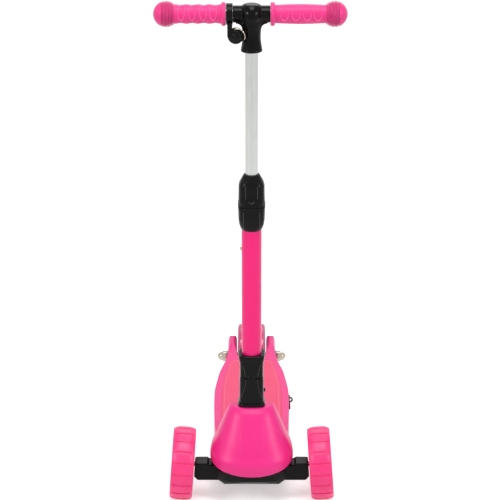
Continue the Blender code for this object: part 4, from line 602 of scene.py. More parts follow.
def makeTee():
    # moulded in one piece: body, two arms and a front boss melt into each other
    top, bar, bottom = teeShape["topAt"], teeShape["barAt"], teeShape["bottomAt"]
    body = [
        (0.0, top),
        (0.0085, top - 0.0003),
        (0.0128, top - 0.0016),
        (0.0160, top - 0.0046),
        (0.0175, top - 0.0090),
        (0.0178, bar),
        (0.0174, bar - 0.0100),
        (0.0163, bar - 0.0175),
        (0.0149, bar - 0.0230),
        (0.0142, bar - 0.0300),
        (0.0141, bar - 0.0380),
        (0.0145, bar - 0.0425),
        (0.0153, bar - 0.0475),
        (0.0161, bottom + 0.0055),
        (0.0164, bottom + 0.0030),
        (0.0164, bottom),
        (0.0, bottom),
    ]
    sides = teeShape["sides"]
    tee = spinPiece("teeJoint", body, sides, stemPlace(0.0))
    reach, radius = teeShape["armReach"], teeShape["armRadius"]
    armPlace = barPlace(1) @ Matrix.Translation((0, 0, -reach))
    joinCut(tee, rodPiece("teeArms", radius, 2 * reach, armPlace, sides), "UNION")
    boss = teeShape["boss"] + [(0.0160, 0.0), (0.0, 0.0)]
    joinCut(tee, spinPiece("teeBoss", boss, sides, stemPlace(bar, turn=math.pi / 2)), "UNION")
    near, wall, drop, curve, deep = teeShape["web"]
    for sign in (1, -1):
        # a rounded web in the corner between each arm and the neck
        centre = (wall + curve, bar - radius - curve)
        web = [(near, bar - drop), (centre[0] + 0.0002, bar - drop)]
        web += arcPoints(centre, curve, 90, 180, 8)
        web += [(near, centre[1])]
        rings = [[(sign * x, y, z) for x, z in web] for y in (-deep, deep)]
        joinCut(tee, loftPiece("teeWeb", rings, stemFrame), "UNION")
    pick(tee)
    remesh = tee.modifiers.new("skin", "REMESH")
    remesh.mode = "VOXEL"
    remesh.voxel_size = teeShape["voxel"]
    bpy.ops.object.modifier_apply(modifier=remesh.name)
    melt = tee.modifiers.new("melt", "SMOOTH")
    melt.factor = teeShape["blend"]
    melt.iterations = teeShape["blendRounds"]
    bpy.ops.object.modifier_apply(modifier=melt.name)
    bore, tubeBore = teeShape["barBore"], teeShape["tubeBore"]
    for sign in (1, -1):
        # the sleeve mouths stay round and crisp against the bar and the tube
        lip = [(bore, reach), (bore, reach - 0.006), (radius, reach - 0.006), (radius, reach - 0.0007)]
        lip += [(radius - 0.0007, reach)]
        joinCut(tee, spinPiece("teeLip", lip, sides, barPlace(sign), closed=True), "UNION")
        mouth = barPlace(sign) @ Matrix.Translation((0, 0, reach - 0.010))
        joinCut(tee, rodPiece("barHole", bore, 0.012, mouth, sides))
    rim = [(tubeBore, bottom), (tubeBore, bottom + 0.008), (0.0145, bottom + 0.008)]
    rim += [(0.0163, bottom + 0.0036), (0.0167, bottom + 0.0026), (0.0167, bottom + 0.0010)]
    rim += [(0.0160, bottom)]
    joinCut(tee, spinPiece("teeRim", rim, sides, stemPlace(0.0), closed=True), "UNION")
    joinCut(tee, rodPiece("tubeHole", tubeBore, 0.020, stemPlace(bottom - 0.010), sides))
    finish(tee, glossBlackAbs, "black_plastic", ["tee_joint"], 40.0)


gripShape = {
    "radius": 0.0146,
    "ball": 0.0199,
    "capAt": 0.0070,
    "core": 0.0126,
    "flange": 0.0182,
    "flangeWidth": 0.0067,
    "bore": 0.0113,
    "boreDepth": 0.02,
    "fins": 9,
    "finShare": 0.6,
    "wave": 0.0006,
    "barrel": 0.0013,
    "sides": 72,
}


def gripProfile(start, end, waves):
    ball, radius, core = gripShape["ball"], gripShape["radius"], gripShape["core"]
    centre = end - ball

    def sphere(spot):
        return math.sqrt(max(ball**2 - (spot - centre) ** 2, 0.0))

    foot = centre - math.sqrt(ball**2 - (radius + 0.0006) ** 2)
    cap = centre + gripShape["capAt"]
    # smooth outer cap, then thin ring fins over a narrower core
    spots = [end - (end - cap) * (1 - math.cos(math.pi / 2 * i / 8)) for i in range(1, 9)]
    profile = [(0.0, end)] + [(sphere(spot), spot) for spot in spots]
    pitch = (cap - foot) / gripShape["fins"]
    for k in range(gripShape["fins"]):
        gapTop = cap - k * pitch
        gapLow = gapTop - pitch * (1 - gripShape["finShare"])
        finLow = gapTop - pitch
        floor = min(core, sphere(gapTop) - 0.0012)
        profile += [(floor, gapTop), (floor, gapLow)]
        middle = (gapLow + finLow) / 2
        profile += [(sphere(gapLow) - 0.0003, gapLow), (sphere(middle), middle)]
        profile += [(sphere(finLow) - 0.0003, finLow)]
    inner = start + gripShape["flangeWidth"]
    steps = 12 * waves if waves else 16
    for i in range(steps + 1):
        share = i / steps
        spot = foot - 0.0004 + (inner + 0.0006 - foot) * share
        if waves:
            wide = radius - 0.0003 + gripShape["wave"] * math.cos(2 * math.pi * waves * share)
        else:
            wide = radius - 0.0007 + gripShape["barrel"] * math.sin(math.pi * share)
        profile.append((wide, spot))
    rim, bore, deep = gripShape["flange"], gripShape["bore"], gripShape["boreDepth"]
    profile += [(rim - 0.0022, inner), (rim - 0.0008, inner - 0.0006), (rim, inner - 0.0020)]
    profile += [(rim, start + 0.0018), (rim - 0.0006, start + 0.0006), (rim - 0.0024, start)]
    profile += [(bore, start), (bore, start + deep), (0.0, start + deep)]
    return profile


loopShape = {
    "footTurn": 27.0,
    "length": (84.0, 46.0),
    "width": (0.0112, 0.0122),
    "half": 0.0010,
    "lift": 0.0001,
    "steps": 26,
    "points": 8,
}


def loopRidge(name, place, down, spot, length, width, bodyRadius):
    # a raised U, open to the top, laid over the round of the grip
    steps, points = loopShape["steps"], []
    for i in range(steps + 1):
        turn = math.pi * i / steps
        side = -math.cos(turn) * width / 2
        hang = max(math.sin(turn), 0.0) ** 0.8
        points.append((spot + side, hang))
    rings, radius = [], bodyRadius + loopShape["lift"]
    for i, (along, hang) in enumerate(points):
        face = math.radians(loopShape["footTurn"] - (1 - hang) * length)
        before, after = points[max(i - 1, 0)], points[min(i + 1, steps)]
        slope = Vector((after[0] - before[0], (after[1] - before[1]) * math.radians(length) * radius))
        slope.normalize()
        half = loopShape["half"] * (0.35 + 0.65 * hang)
        ring = []
        for j in range(loopShape["points"]):
            around = 2 * math.pi * j / loopShape["points"]
            shift = Vector((-slope.y, slope.x)) * (half * math.cos(around))
            angle = face + shift.y / radius
            out = radius + half * math.sin(around)
            ring.append((down * out * math.sin(angle), -out * math.cos(angle), along + shift.x))
        rings.append(ring)
    return loftPiece(name, rings, place)


# node, side, start, end, waves along the barrel, places of the loops
gripSides = (
    ("grip_left", 1, 0.0287, 0.1459, 0, (0.0495, 0.0672, 0.0843, 0.1005)),
    ("grip_right", -1, 0.0393, 0.1497, 4, (0.0584, 0.0735, 0.0902, 0.1068)),
)


def makeGrips():
    for node, sign, start, end, waves, spots in gripSides:
        grip = spinPiece(node + "Hand", gripProfile(start, end, waves), gripShape["sides"], barPlace(sign))
        finish(grip, gripRubber, "pink_grip_rubber", [node], 40.0)
        kind = 0 if waves else 1
        length, width = loopShape["length"][kind], loopShape["width"][kind]
        radius = gripShape["radius"] + (0.0 if waves else 0.0003)
        for i, spot in enumerate(spots):
            ridge = loopRidge(f"{node}Loop{i + 1}", barPlace(sign), sign, spot, length, width, radius)
            # the loops are painted paler than the grip: a painted highlight on each raised U
            attach(ridge, gripLoopPaintedHighlight, "pink_grip_rubber", "handlebar", 60.0)


nutShape = {"flats": 0.017, "hexHeight": 0.0085, "domeHeight": 0.0095, "domeShare": 0.93, "chamfer": 0.0011}


def makeNuts():
    rearPlace = Matrix.Translation((0, yRear, axleHeight)) @ across
    flats, tall, dome = nutShape["flats"], nutShape["hexHeight"], nutShape["domeHeight"]
    corner, chamfer = flats / math.sqrt(3), nutShape["chamfer"]
    radius = flats / 2 * nutShape["domeShare"]
    for sign, side in sideName.items():
        low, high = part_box(f"axle_nut_{side}")
        foot = (low.x if sign > 0 else -high.x) + 0.0001
        place = rearPlace if sign > 0 else rearPlace @ Matrix.Rotation(math.pi, 4, "X")
        place = place @ Matrix.Translation((0, 0, foot))
        nut = rodPiece(f"axleNut{side.title()}", corner, tall, place, 6)
        ends = [(0.0, tall), (corner - chamfer, tall), (corner, tall - chamfer), (corner, 0.0008)]
        ends += [(corner - 0.0008, 0.0), (0.0, 0.0)]
        joinCut(nut, spinPiece("nutRound", ends, 48, place), "INTERSECT")
        cap = [(0.0, tall - 0.001), (radius, tall - 0.001), (radius, tall)]
        for turn in [math.pi / 2 * i / 10 for i in range(1, 10)]:
            cap.append((radius * math.cos(turn), tall + dome * math.sin(turn)))
        cap += [(0.0, tall + dome)]
        joinCut(nut, spinPiece("nutDome", cap, 48, place, closed=True), "UNION")
        softEdges(nut, 0.00022, 2, 25.0)
        finish(nut, chromePlate, "chrome", [f"axle_nut_{side}"], 40.0)


makeTee()
makeGrips()
makeNuts()
print("head and nuts made")


wheelShape = {
    "radius": 0.0598,
    "width": 0.037,
    "coreRadius": 0.043,
    "crown": 0.020,
    "flat": 0.0065,
    "grooves": 20,
    "stepsPerGroove": 12,
    "grooveSteps": (5, 6),
    "grooveDepth": 0.0015,
    "grooveReach": 0.0150,
    "treadDepth": 0.0046,
    "camber": 4.2,
    "trackHalf": 0.1126,
}


def wheelPlace(sign):
    camber = math.radians(wheelShape["camber"])
    low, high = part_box(f"front_tyre_{sideName[sign]}")
    centre = Vector((sign * wheelShape["trackHalf"], yFront, (low.z + high.z) / 2))
    outward = Vector((sign * math.cos(camber), 0.0, math.sin(camber)))
    return Matrix.Translation(centre) @ outward.to_track_quat("Z", "Y").to_matrix().to_4x4()


def makeFrontTyres():
    half, radius = wheelShape["width"] / 2, wheelShape["radius"]
    crown, flat = wheelShape["crown"], wheelShape["flat"]

    def crownRadius(spot):
        slope = max(abs(spot) - flat, 0.0)
        return radius - crown + math.sqrt(crown**2 - slope**2)

    core, reach = wheelShape["coreRadius"], wheelShape["grooveReach"]
    shoulder = half - 0.0012
    section = [(core - 0.0002, half - 0.0006), (core + 0.0005, half)]
    section += [(crownRadius(half) - 0.0016, half), (crownRadius(shoulder) - 0.0003, half - 0.0005)]
    spots = [shoulder, half - 0.0024, reach, 0.0125, 0.0100, flat, 0.0032, 0.0]
    section += [(crownRadius(spot), spot) for spot in spots]
    section += [(r, -spot) for r, spot in reversed(section[:-1])]
    steps = wheelShape["grooves"] * wheelShape["stepsPerGroove"]
    for sign, side in sideName.items():
        tyre = spinPiece(f"frontTyre{side.title()}", section, steps, Matrix.Identity(4), closed=True)
        startEdit(tyre, select=False)
        shape = bmesh.from_edit_mesh(tyre.data)
        for face in shape.faces:
            middle = face.calc_center_median()
            turn = math.atan2(middle.y, middle.x) % (2 * math.pi)
            step = int(turn / (2 * math.pi) * steps) % wheelShape["stepsPerGroove"]
            outer = math.hypot(middle.x, middle.y) > radius - wheelShape["treadDepth"]
            face.select = step in wheelShape["grooveSteps"] and outer and abs(middle.z) < reach
        bmesh.update_edit_mesh(tyre.data)
        sink = {"value": -wheelShape["grooveDepth"]}
        bpy.ops.mesh.extrude_region_shrink_fatten(TRANSFORM_OT_shrink_fatten=sink)
        bpy.ops.mesh.select_all(action="SELECT")
        bpy.ops.object.mode_set(mode="OBJECT")
        softEdges(tyre, 0.0004, 2, 40.0)
        settle(tyre, wheelPlace(sign))
        finish(tyre, pinkPolyurethane, "pink_polyurethane", [f"front_tyre_{side}"], 40.0)


deckShape = {
    "top": 0.085,
    "bottom": 0.042,
    "front": 0.026,
    "middle": 0.172,
    "frontHalf": 0.056,
    "half": 0.064,
    "taperStart": 0.195,
    "taperEnd": 0.385,
    "belly": (0.0020, 0.288, 0.028),
    "earOuter": 0.0415,
    "earInner": 0.0264,
    "earStart": 0.3600,
    "earEnd": 0.432,
    "earRise": 0.0060,
    "tipRadius": 0.018,
    "slotStart": 0.346,
    "slotRadius": 0.010,
    "edge": 0.0034,
    "wall": 0.003,
    "cavityEnd": 0.336,
    "axleBore": 0.0053,
    "pinBore": (0.0023, 0.0668),
    "sideFace": (0.056, 0.074),
    "sideHeight": 0.064,
    "button": (0.195, 0.0083, 0.0048),
    "sideHoles": ((0.217, 0.0058), (0.244, 0.0023)),
}


def deckHalf(distance):
    shape = deckShape
    if distance < shape["middle"]:
        share = (shape["middle"] - distance) / (shape["middle"] - shape["front"])
        return shape["half"] - (shape["half"] - shape["frontHalf"]) * share**2
    share = (distance - shape["taperStart"]) / (shape["taperEnd"] - shape["taperStart"])
    share = min(max(share, 0.0), 1.0)
    swell, centre, spread = shape["belly"]
    belly = swell * math.exp(-(((distance - centre) / spread) ** 2))
    return shape["half"] - (shape["half"] - shape["earOuter"]) * (1 - math.cos(math.pi * share)) / 2 + belly


def deckSide(start, end, steps, inset=0.0):
    spots = [start + (end - start) * i / steps for i in range(steps + 1)]
    return [(deckHalf(spot) - inset, yFront + spot) for spot in spots]


def bothSides(half):
    return half + [(-x, y) for x, y in reversed(half)]


def panelOutline(growth, steps=24):
    front, bend, rear = 0.088, 0.215, 0.328
    wide, narrow, corner = 0.0505 + growth, 0.0385 + growth, 0.012
    half = [(wide - 0.003, yFront + front - growth)]
    half += [(wide - 0.0009, yFront + front - growth + 0.0009), (wide, yFront + front + 0.003)]
    half.append((wide, yFront + bend))
    for i in range(1, steps + 1):
        share = i / steps
        curve = (1 - math.cos(math.pi / 2 * share)) * 0.6 + share * 0.4
        half.append((wide - (wide - narrow) * curve, yFront + bend + (rear - corner - bend) * share))
    half += [
        (narrow - corner + corner * math.cos(a), yFront + rear - corner + growth + corner * math.sin(a))
        for a in [math.pi / 2 * i / 10 for i in range(1, 11)]
    ]
    return bothSides(half)


def slab(name, outline, low, high):
    return loftPiece(name, [[(x, y, z) for x, y in outline] for z in (low, high)])


def roundRims(piece, width, segments, low, high):
    # rounds the edges that run round the top and the foot of a slab
    startEdit(piece, select=False)
    shape = bmesh.from_edit_mesh(piece.data)
    for edge in shape.edges:
        heights = [vert.co.z for vert in edge.verts]
        level = abs(heights[0] - heights[1]) < 1e-6
        flatFace = any(abs(face.normal.z) > 0.9 for face in edge.link_faces)
        sideFace = any(abs(face.normal.z) < 0.1 for face in edge.link_faces)
        edge.select = level and flatFace and sideFace and (low <= heights[0] <= high)
    bmesh.update_edit_mesh(piece.data)
    bpy.ops.mesh.bevel(offset=width, segments=segments, profile=0.5, affect="EDGES")
    bpy.ops.object.mode_set(mode="OBJECT")


def makeDeck():
    shape = deckShape
    top, bottom, slot = shape["top"], shape["bottom"], shape["slotRadius"]
    half = deckSide(shape["front"], shape["taperEnd"], 60)
    half.append((shape["earInner"], half[-1][1]))
    half.append((shape["earInner"], yFront + shape["slotStart"] + slot))
    corner = (shape["earInner"] - slot, yFront + shape["slotStart"] + slot)
    half += arcPoints(corner, slot, 0, -90, 8)[1:]
    deck = slab("deckShell", bothSides(half), bottom, top)
    roundRims(deck, shape["edge"], 5, 0.0, 0.2)
    wall = shape["wall"]
    inside = bothSides(deckSide(shape["front"] + wall, shape["cavityEnd"], 40, wall))
    joinCut(deck, slab("deckCavity", inside, bottom - 0.01, top - wall))
    joinCut(deck, slab("panelRecess", panelOutline(0.0003), top - 0.0010, top + 0.01))
    for sign in sideName:
        joinCut(deck, earCrest(sign), "UNION")
    end, radius = yFront + shape["earEnd"], shape["tipRadius"]
    for z, turn in ((top + shape["earRise"], 1), (bottom, -1)):
        centre = (end - radius, z - turn * radius)
        outline = arcPoints(centre, radius, 0, 90 * turn, 14)
        outline += [(centre[0], z + turn * 0.02), (end + 0.01, z + turn * 0.02), (end + 0.01, centre[1])]
        rings = [[(x, a, b) for a, b in outline] for x in (-0.06, 0.06)]
        joinCut(deck, loftPiece("earEnd", rings))
    axlePlace = Matrix.Translation((-0.06, yRear, axleHeight)) @ across
    joinCut(deck, rodPiece("axleHole", shape["axleBore"], 0.12, axlePlace, 32))
    pinPlace = Matrix.Translation((-0.0334, *fenderPin)) @ across
    joinCut(deck, rodPiece("pinHole", *shape["pinBore"], pinPlace, 24))
    near, far = shape["sideFace"]
    spot, long, tall = shape["button"]
    z = shape["sideHeight"]
    low, high = (near, yFront + spot - long, z - tall), (far, yFront + spot + long, z + tall)
    joinCut(deck, boxPiece("buttonHole", low, high))
    for spot, wide in shape["sideHoles"]:
        place = Matrix.Translation((near, yFront + spot, z)) @ across
        joinCut(deck, rodPiece("sideHole", wide, 0.02, place, 32))
    finish(deck, hotPinkAbs, "hot_pink_plastic", ["deck_shell"], 32.0)


def earCrest(sign):
    # the ear grows out of the deck edge, rises to a crest and rounds off on both sides
    steps, rings = 32, []
    shape = deckShape
    first, end, edge, lip = shape["earStart"], shape["earEnd"], shape["edge"], 0.0012
    for i in range(steps + 1):
        share = i / steps
        spot = first + (end + 0.001 - first) * share
        rise = blendStep(share / 0.45)
        top = shape["top"] - 0.00005 + shape["earRise"] * rise
        out = deckHalf(spot) - 0.00005 + lip * rise
        outer = edge + 0.0052 * rise
        inner = lip + 0.0058 * rise
        tall = 1 + 0.6 * rise
        foot = shape["bottom"] + 0.00005
        tip = max(spot - (end - 0.012), 0.0) / 0.0131
        shrink = 0.0062 * (1 - math.sqrt(max(1 - tip * tip, 0.0)))
        out -= shrink
        near = shape["earInner"] + shrink
        ring = arcPoints((near + lip, foot + lip), lip, 180, 270, 4)
        ring += arcPoints((out - edge, foot + edge), edge, -90, 0, 6)
        inner = min(inner, (out - near) / 2 - 0.0005)
        outer = min(outer, (out - near) - inner - 0.0003)
        corners = (out - outer, outer, 0, 12), (near + inner, inner, 90, 8)
        for middle, radius, start, count in corners:
            for j in range(count + 1):
                turn = math.radians(start + 90 * j / count)
                lift = radius * tall
                ring.append((middle + radius * math.cos(turn), top - lift + lift * math.sin(turn)))
        rings.append([(sign * x, yFront + spot, z) for x, z in ring])
    return loftPiece("earCrest", rings)


panelShape = {"foot": 0.0843, "thickness": 0.0022, "edge": 0.0005, "ringInset": 0.0035, "ringWidth": 0.0007}


def makePanel():
    # a rubber mat let into the deck, with a thin raised line round it
    foot = panelShape["foot"]
    top = foot + panelShape["thickness"]
    mat = slab("gripPanel", panelOutline(0.0), foot, top)
    roundRims(mat, panelShape["edge"], 3, top - 0.0001, top + 0.0001)
    finish(mat, coralMat, "coral_grip_mat", ["grip_panel"], 35.0)
    inset, width = panelShape["ringInset"], panelShape["ringWidth"]
    outlines = (
        (-inset, top - 0.0002),
        (-inset - 0.0001, top + 0.00022),
        (-inset - width + 0.0001, top + 0.00022),
        (-inset - width, top - 0.0002),
    )
    rings = [[(x, y, z) for x, y in panelOutline(growth)] for growth, z in outlines]
    line = loftPiece("panelLine", rings, capStart=False, capEnd=False)
    attach(line, matLine, "coral_grip_mat", "deck_body", 35.0)


boltShape = {"head": 0.0068, "shank": 0.0040, "collar": 0.0058, "tail": 0.016, "socket": 0.0027}


def makeFrontAxles():
    # shouldered bolts: the low domed head sits just inside the wheel, the shank runs to the beam
    half = wheelShape["width"] / 2
    foot = half - 0.0024
    head, shank, collar, tail, socket = boltShape.values()
    profile = [(0.0, half - 0.0002), (0.0040, half - 0.0004), (0.0060, half - 0.0010), (head, foot)]
    profile += [(shank, foot), (shank, -half + 0.0023), (collar, -half + 0.0023), (collar, -half)]
    profile += [(shank, -half), (shank, -half - tail), (0.0, -half - tail)]
    for sign, side in sideName.items():
        bolt = spinPiece(f"frontAxle{side.title()}", profile, 40, wheelPlace(sign))
        socketPlace = wheelPlace(sign) @ Matrix.Translation((0, 0, half - 0.0018))
        joinCut(bolt, rodPiece("boltSocket", socket, 0.01, socketPlace, 6))
        softEdges(bolt, 0.00015, 2, 30.0)
        finish(bolt, zincSteel, "zinc_plated_steel", [f"front_axle_{side}"], 40.0)


screwShape = {
    "spot": (0.036, -0.2436, 0.0462),
    "turn": 112.0,
    "head": [(0.0, 0.0012), (0.0022, 0.0011), (0.0030, 0.0004), (0.0031, -0.0006), (0.0, -0.0006)],
    "slot": ((-0.0016, -0.0004, 0.0006), (0.0016, 0.0004, 0.003)),
}


def makeTrayScrews():
    # two dark slotted screws in the sloping face of the tray
    tilt = Matrix.Rotation(math.radians(screwShape["turn"]), 4, "X")
    x, y, z = screwShape["spot"]
    for sign, side in sideName.items():
        place = Matrix.Translation((sign * x, y, z)) @ tilt
        screw = spinPiece(f"trayScrew{side.title()}", screwShape["head"], 32, place)
        joinCut(screw, boxPiece("screwSlot", *screwShape["slot"], place))
        attach(screw, darkGreyAndPaintedHighlight, "black_plastic", bodyOf["front_tray"], 40.0)


makeFrontTyres()
makeFrontAxles()
makeDeck()
makePanel()
makeTrayScrews()
print("wheels and deck made")


bonnetShape = {
    "sections": [
        (0.0550, 0.0700, -0.0492, 0.0000, 0.0840),
        (0.0720, 0.0700, -0.0502, 0.0000, 0.0830),
        (0.0820, 0.0690, -0.0488, 0.0025, 0.0813),
        (0.0920, 0.0648, -0.0420, 0.0060, 0.0770),
        (0.1080, 0.0570, -0.0330, 0.0110, 0.0690),
        (0.1300, 0.0475, -0.0190, 0.0170, 0.0600),
        (0.1480, 0.0395, -0.0070, 0.0220, 0.0530),
        (0.1560, 0.0345, 0.0000, 0.0245, 0.0490),
    ],
    "power": 2.5,
    "smileLow": 0.057,
    "smileHigh": 0.0725,
    "smileHalf": 0.067,
    "rollWide": (0.0022, 0.0230),
    "rollFoot": (0.0012, 0.0040),
    "crownRound": (0.0024, 0.965),
    "creaseAt": ((0.085, 0.0150), (0.150, 0.0155)),
    "creaseDepth": 0.0007,
    "creaseWidth": 0.0011,
    "creaseFade": (0.092, 0.128, 0.012),
    "drop": (0.019, 0.030, 0.049),
    "seat": (0.0257, 0.100, 30, -0.0003),
    "points": 128,
    "levels": 40,
    "wall": 0.0026,
    "stemHalf": (0.0180, 0.0160),
    "stemBack": 0.028,
    "stemHeight": 0.157,
}


def footPlane(distance):
    return bonnetShape["stemHeight"] - (distance - bonnetShape["stemBack"]) * math.tan(math.radians(3.0))


def bonnetSection(height):
    # eases between the measured sections so that the side has no corners
    rows = bonnetShape["sections"]
    spread = 0.0035
    values = [alongRows(rows, height + spread * k / 3) for k in (-3, -2, -1, 0, 1, 2, 3)]
    weights = (1, 2, 3, 4, 3, 2, 1)
    if height > rows[-1][0] - 0.006:
        return alongRows(rows, height)
    return [sum(w * v[j] for w, v in zip(weights, values)) / sum(weights) for j in range(4)]


def bonnetPoint(angle, height, inset=0.0):
    half, nose, middle, rear = bonnetSection(height)
    power = bonnetShape["power"]
    c, s = math.cos(angle), math.sin(angle)
    reach = (rear - middle) if s > 0 else (middle - nose)
    x = (half - inset) * math.copysign(abs(c) ** (2 / power), c)
    y = middle + (reach - inset) * math.copysign(abs(s) ** (2 / power), s)
    return x, y


def bonnetEdge(x, distance):
    smile = bonnetShape["smileLow"]
    smile += (bonnetShape["smileHigh"] - smile) * min(abs(x) / bonnetShape["smileHalf"], 1.0) ** 2
    return smile + (deckShape["top"] - smile) * blendStep((distance - deckShape["front"]) / 0.022)


def bonnetDrop(distance):
    drop, start, end = bonnetShape["drop"]
    return drop * blendStep((distance - start) / (end - start))


def makeBonnet():
    # a moulded hood: the flanks roll in at the foot, and two soft creases run down its front
    shape = bonnetShape
    points, levels = shape["points"], shape["levels"]
    top = shape["sections"][-1][0]
    angles = [2 * math.pi * (i + 0.5) / points for i in range(points)]
    wide, wideHeight = shape["rollWide"]
    low, lowHeight = shape["rollFoot"]
    crownEase, crownStart = shape["crownRound"]
    fadeIn, fadeOut, fade = shape["creaseFade"]
    rings = []
    for k in range(levels + 1):
        level = (k / levels) ** 1.15
        late = max((level - crownStart) / 0.035, 0.0)
        ease = crownEase * (1 - math.sqrt(max(1 - late**2, 0.0)))
        ring = []
        for angle in angles:
            edge = bonnetEdge(*bonnetPoint(angle, shape["smileHigh"]))
            crown = top - bonnetDrop(bonnetPoint(angle, top)[1])
            spot = edge + (top - edge) * level
            roll = wide * (1 - blendStep((spot - edge) / wideHeight))
            roll += low * (1 - blendStep((spot - edge) / lowHeight))
            x, y = bonnetPoint(angle, spot, roll + ease)
            if math.sin(angle) < 0:
                crease = abs(abs(x) - alongRows(shape["creaseAt"], spot)[0])
                strength = blendStep((spot - fadeIn) / fade) * (1 - blendStep((spot - fadeOut) / fade))
                y -= shape["creaseDepth"] * strength * math.exp(-((crease / shape["creaseWidth"]) ** 2))
            height = min(edge + (crown - edge) * level, footPlane(y) - 0.0009)
            ring.append((x, yFront + y, height))
        rings.append(ring)
    rim = [bonnetPoint(angle, top, 0.0035) for angle in angles]
    halfX, halfY = shape["stemHalf"]
    inner = []
    for angle in angles:
        c, s = math.cos(angle), math.sin(angle)
        x, y = halfX * math.copysign(abs(c) ** (1 / 3), c), halfY * math.copysign(abs(s) ** (1 / 3), s)
        inner.append((x, y + shape["stemBack"]))
    for outline in (rim, inner):
        rings.append([(x, yFront + y, footPlane(y) - 0.0008 - bonnetDrop(y)) for x, y in outline])
    bonnet = loftPiece("frontBonnet", rings, capStart=False, capEnd=False)
    startEdit(bonnet)
    bpy.ops.mesh.normals_make_consistent(inside=False)
    bpy.ops.object.mode_set(mode="OBJECT")
    centre = Vector((0, yFront + 0.015, 0.10))
    if sum(face.normal.dot(face.center - centre) for face in bonnet.data.polygons) < 0:
        bonnet.data.flip_normals()
    pick(bonnet)
    wall = bonnet.modifiers.new("wall", "SOLIDIFY")
    wall.thickness = shape["wall"]
    wall.offset = -1.0
    bpy.ops.object.modifier_apply(modifier=wall.name)
    seat = bothSides(deckSide(*shape["seat"]))
    joinCut(bonnet, slab("bonnetSeat", seat, deckShape["bottom"], deckShape["top"] + 0.0003))
    finish(bonnet, hotPinkAbs, "hot_pink_plastic", ["front_bonnet"], 38.0)


kneeShape = {
    "power": 4.5,
    "points": 160,
    "ridge": 0.0011,
    "hinge": (0.0505, 0.0257),
    "earRadius": 0.0055,
    "bore": 0.0028,
    "webDeep": (0.012, 0.0285),
    "ears": (0.0089, 0.0175),
    "tongue": 0.0086,
    "base": [
        (0.0, 0.0214, 0.0199),
        (0.0006, 0.0220, 0.0205),
        (0.0028, 0.0220, 0.0205),
        (0.0044, 0.0212, 0.0199),
        (0.0056, 0.0203, 0.0192),
        (0.0060, 0.0196, 0.0184),
        (0.0074, 0.0196, 0.0184),
        (0.0078, 0.0201, 0.0191),
        (0.0120, 0.0199, 0.0190),
        (0.0445, 0.0197, 0.0190),
        (0.0485, 0.0193, 0.0188),
        (0.05035, 0.0187, 0.0185),
    ],
    "knuckle": [
        (0.05065, 0.0185, 0.0185),
        (0.0515, 0.0190, 0.0189),
        (0.0545, 0.0190, 0.0188),
        (0.0640, 0.0191, 0.0189),
        (0.0700, 0.0192, 0.0189),
        (0.0766, 0.0197, 0.0192),
        (0.0800, 0.0205, 0.0199),
        (0.0821, 0.0211, 0.0205),
        (0.0861, 0.0212, 0.0206),
        (0.0876, 0.0209, 0.0203),
        (0.0886, 0.0199, 0.0193),
    ],
}


def hourglass(share):
    # half width of the sunk channel down the front, as a share of the face: narrowest at the seam
    return 0.20 + 0.30 * abs(share)


def kneeRing(halfX, halfY, height, relief, share):
    ring = roundedRing(halfX, halfY, kneeShape["power"], height, kneeShape["points"])
    shaped = []
    for x, y, z in ring:
        if y < 0:
            offset = abs(x) / halfX - hourglass(share)
            y -= relief * blendStep(offset / 0.12) - relief * 0.5
        shaped.append((x, y, z))
    return shaped


def hingePlace(x):
    height, back = kneeShape["hinge"]
    return stemPlace(height, x, back, math.pi / 2, "Y")


def makeStemBase():
    # the foot of the stem, with the two ears that hold the hinge pin
    rows, ridge = kneeShape["base"], kneeShape["ridge"]
    rings = []
    for height in heightsAlong(rows, lambda rise: 12 if rise > 0.01 else 2):
        relief = ridge * blendStep((height - 0.012) / 0.006)
        rings.append(kneeRing(*alongRows(rows, height), height, relief, (height - 0.0505) / 0.040))
    rings.append(kneeRing(*rows[-1][1:], rows[-1][0], ridge * 0.4, 0.0))
    base = loftPiece("stemBase", rings, stemFrame)
    near, far = kneeShape["ears"]
    front, back = kneeShape["webDeep"]
    for sign in (1, -1):
        low, high = sorted((sign * near, sign * far))
        web = boxPiece("earWeb", (low, front, 0.0365), (high, back, 0.0493), stemFrame)
        joinCut(base, web, "UNION")
        joinCut(base, rodPiece("foldEar", kneeShape["earRadius"], far - near, hingePlace(low), 40), "UNION")
    joinCut(base, rodPiece("earBore", kneeShape["bore"], 0.05, hingePlace(-0.025), 24))
    pocket = stemPlace(0.0225, 0.0090, 0.0, math.pi / 2, "Y")
    joinCut(base, rodPiece("buttonPocket", 0.0035, 0.03, pocket, 32))
    finish(base, gloveBlack, "black_plastic", ["stem_base"], 30.0)


def makeKnuckle():
    # the socket of the lower tube, with the tongue that turns between the ears
    rows = kneeShape["knuckle"]
    rings = []
    for height in heightsAlong(rows, lambda rise: 4 if rise > 0.003 else 2):
        relief = kneeShape["ridge"] * (1 - blendStep((height - 0.078) / 0.004))
        relief *= blendStep((height - 0.0506) / 0.0015)
        rings.append(kneeRing(*alongRows(rows, height), height, relief, (height - 0.0505) / 0.034))
    rings.append(kneeRing(*rows[-1][1:], rows[-1][0], 0.0, 1.0))
    knee = loftPiece("foldKnuckle", rings, stemFrame)
    half = kneeShape["tongue"]
    front, back = kneeShape["webDeep"]
    web = boxPiece("tongueWeb", (-half, front, 0.0517), (half, back, 0.0645), stemFrame)
    joinCut(knee, web, "UNION")
    joinCut(knee, rodPiece("tongue", kneeShape["earRadius"], 0.0172, hingePlace(-half), 40), "UNION")
    joinCut(knee, rodPiece("tongueBore", kneeShape["bore"], 0.05, hingePlace(-0.025), 24))
    joinCut(knee, rodPiece("tubeSocket", 0.0163, 0.06, stemPlace(0.0580), 64))
    finish(knee, gloveBlack, "black_plastic", ["fold_knuckle"], 30.0)


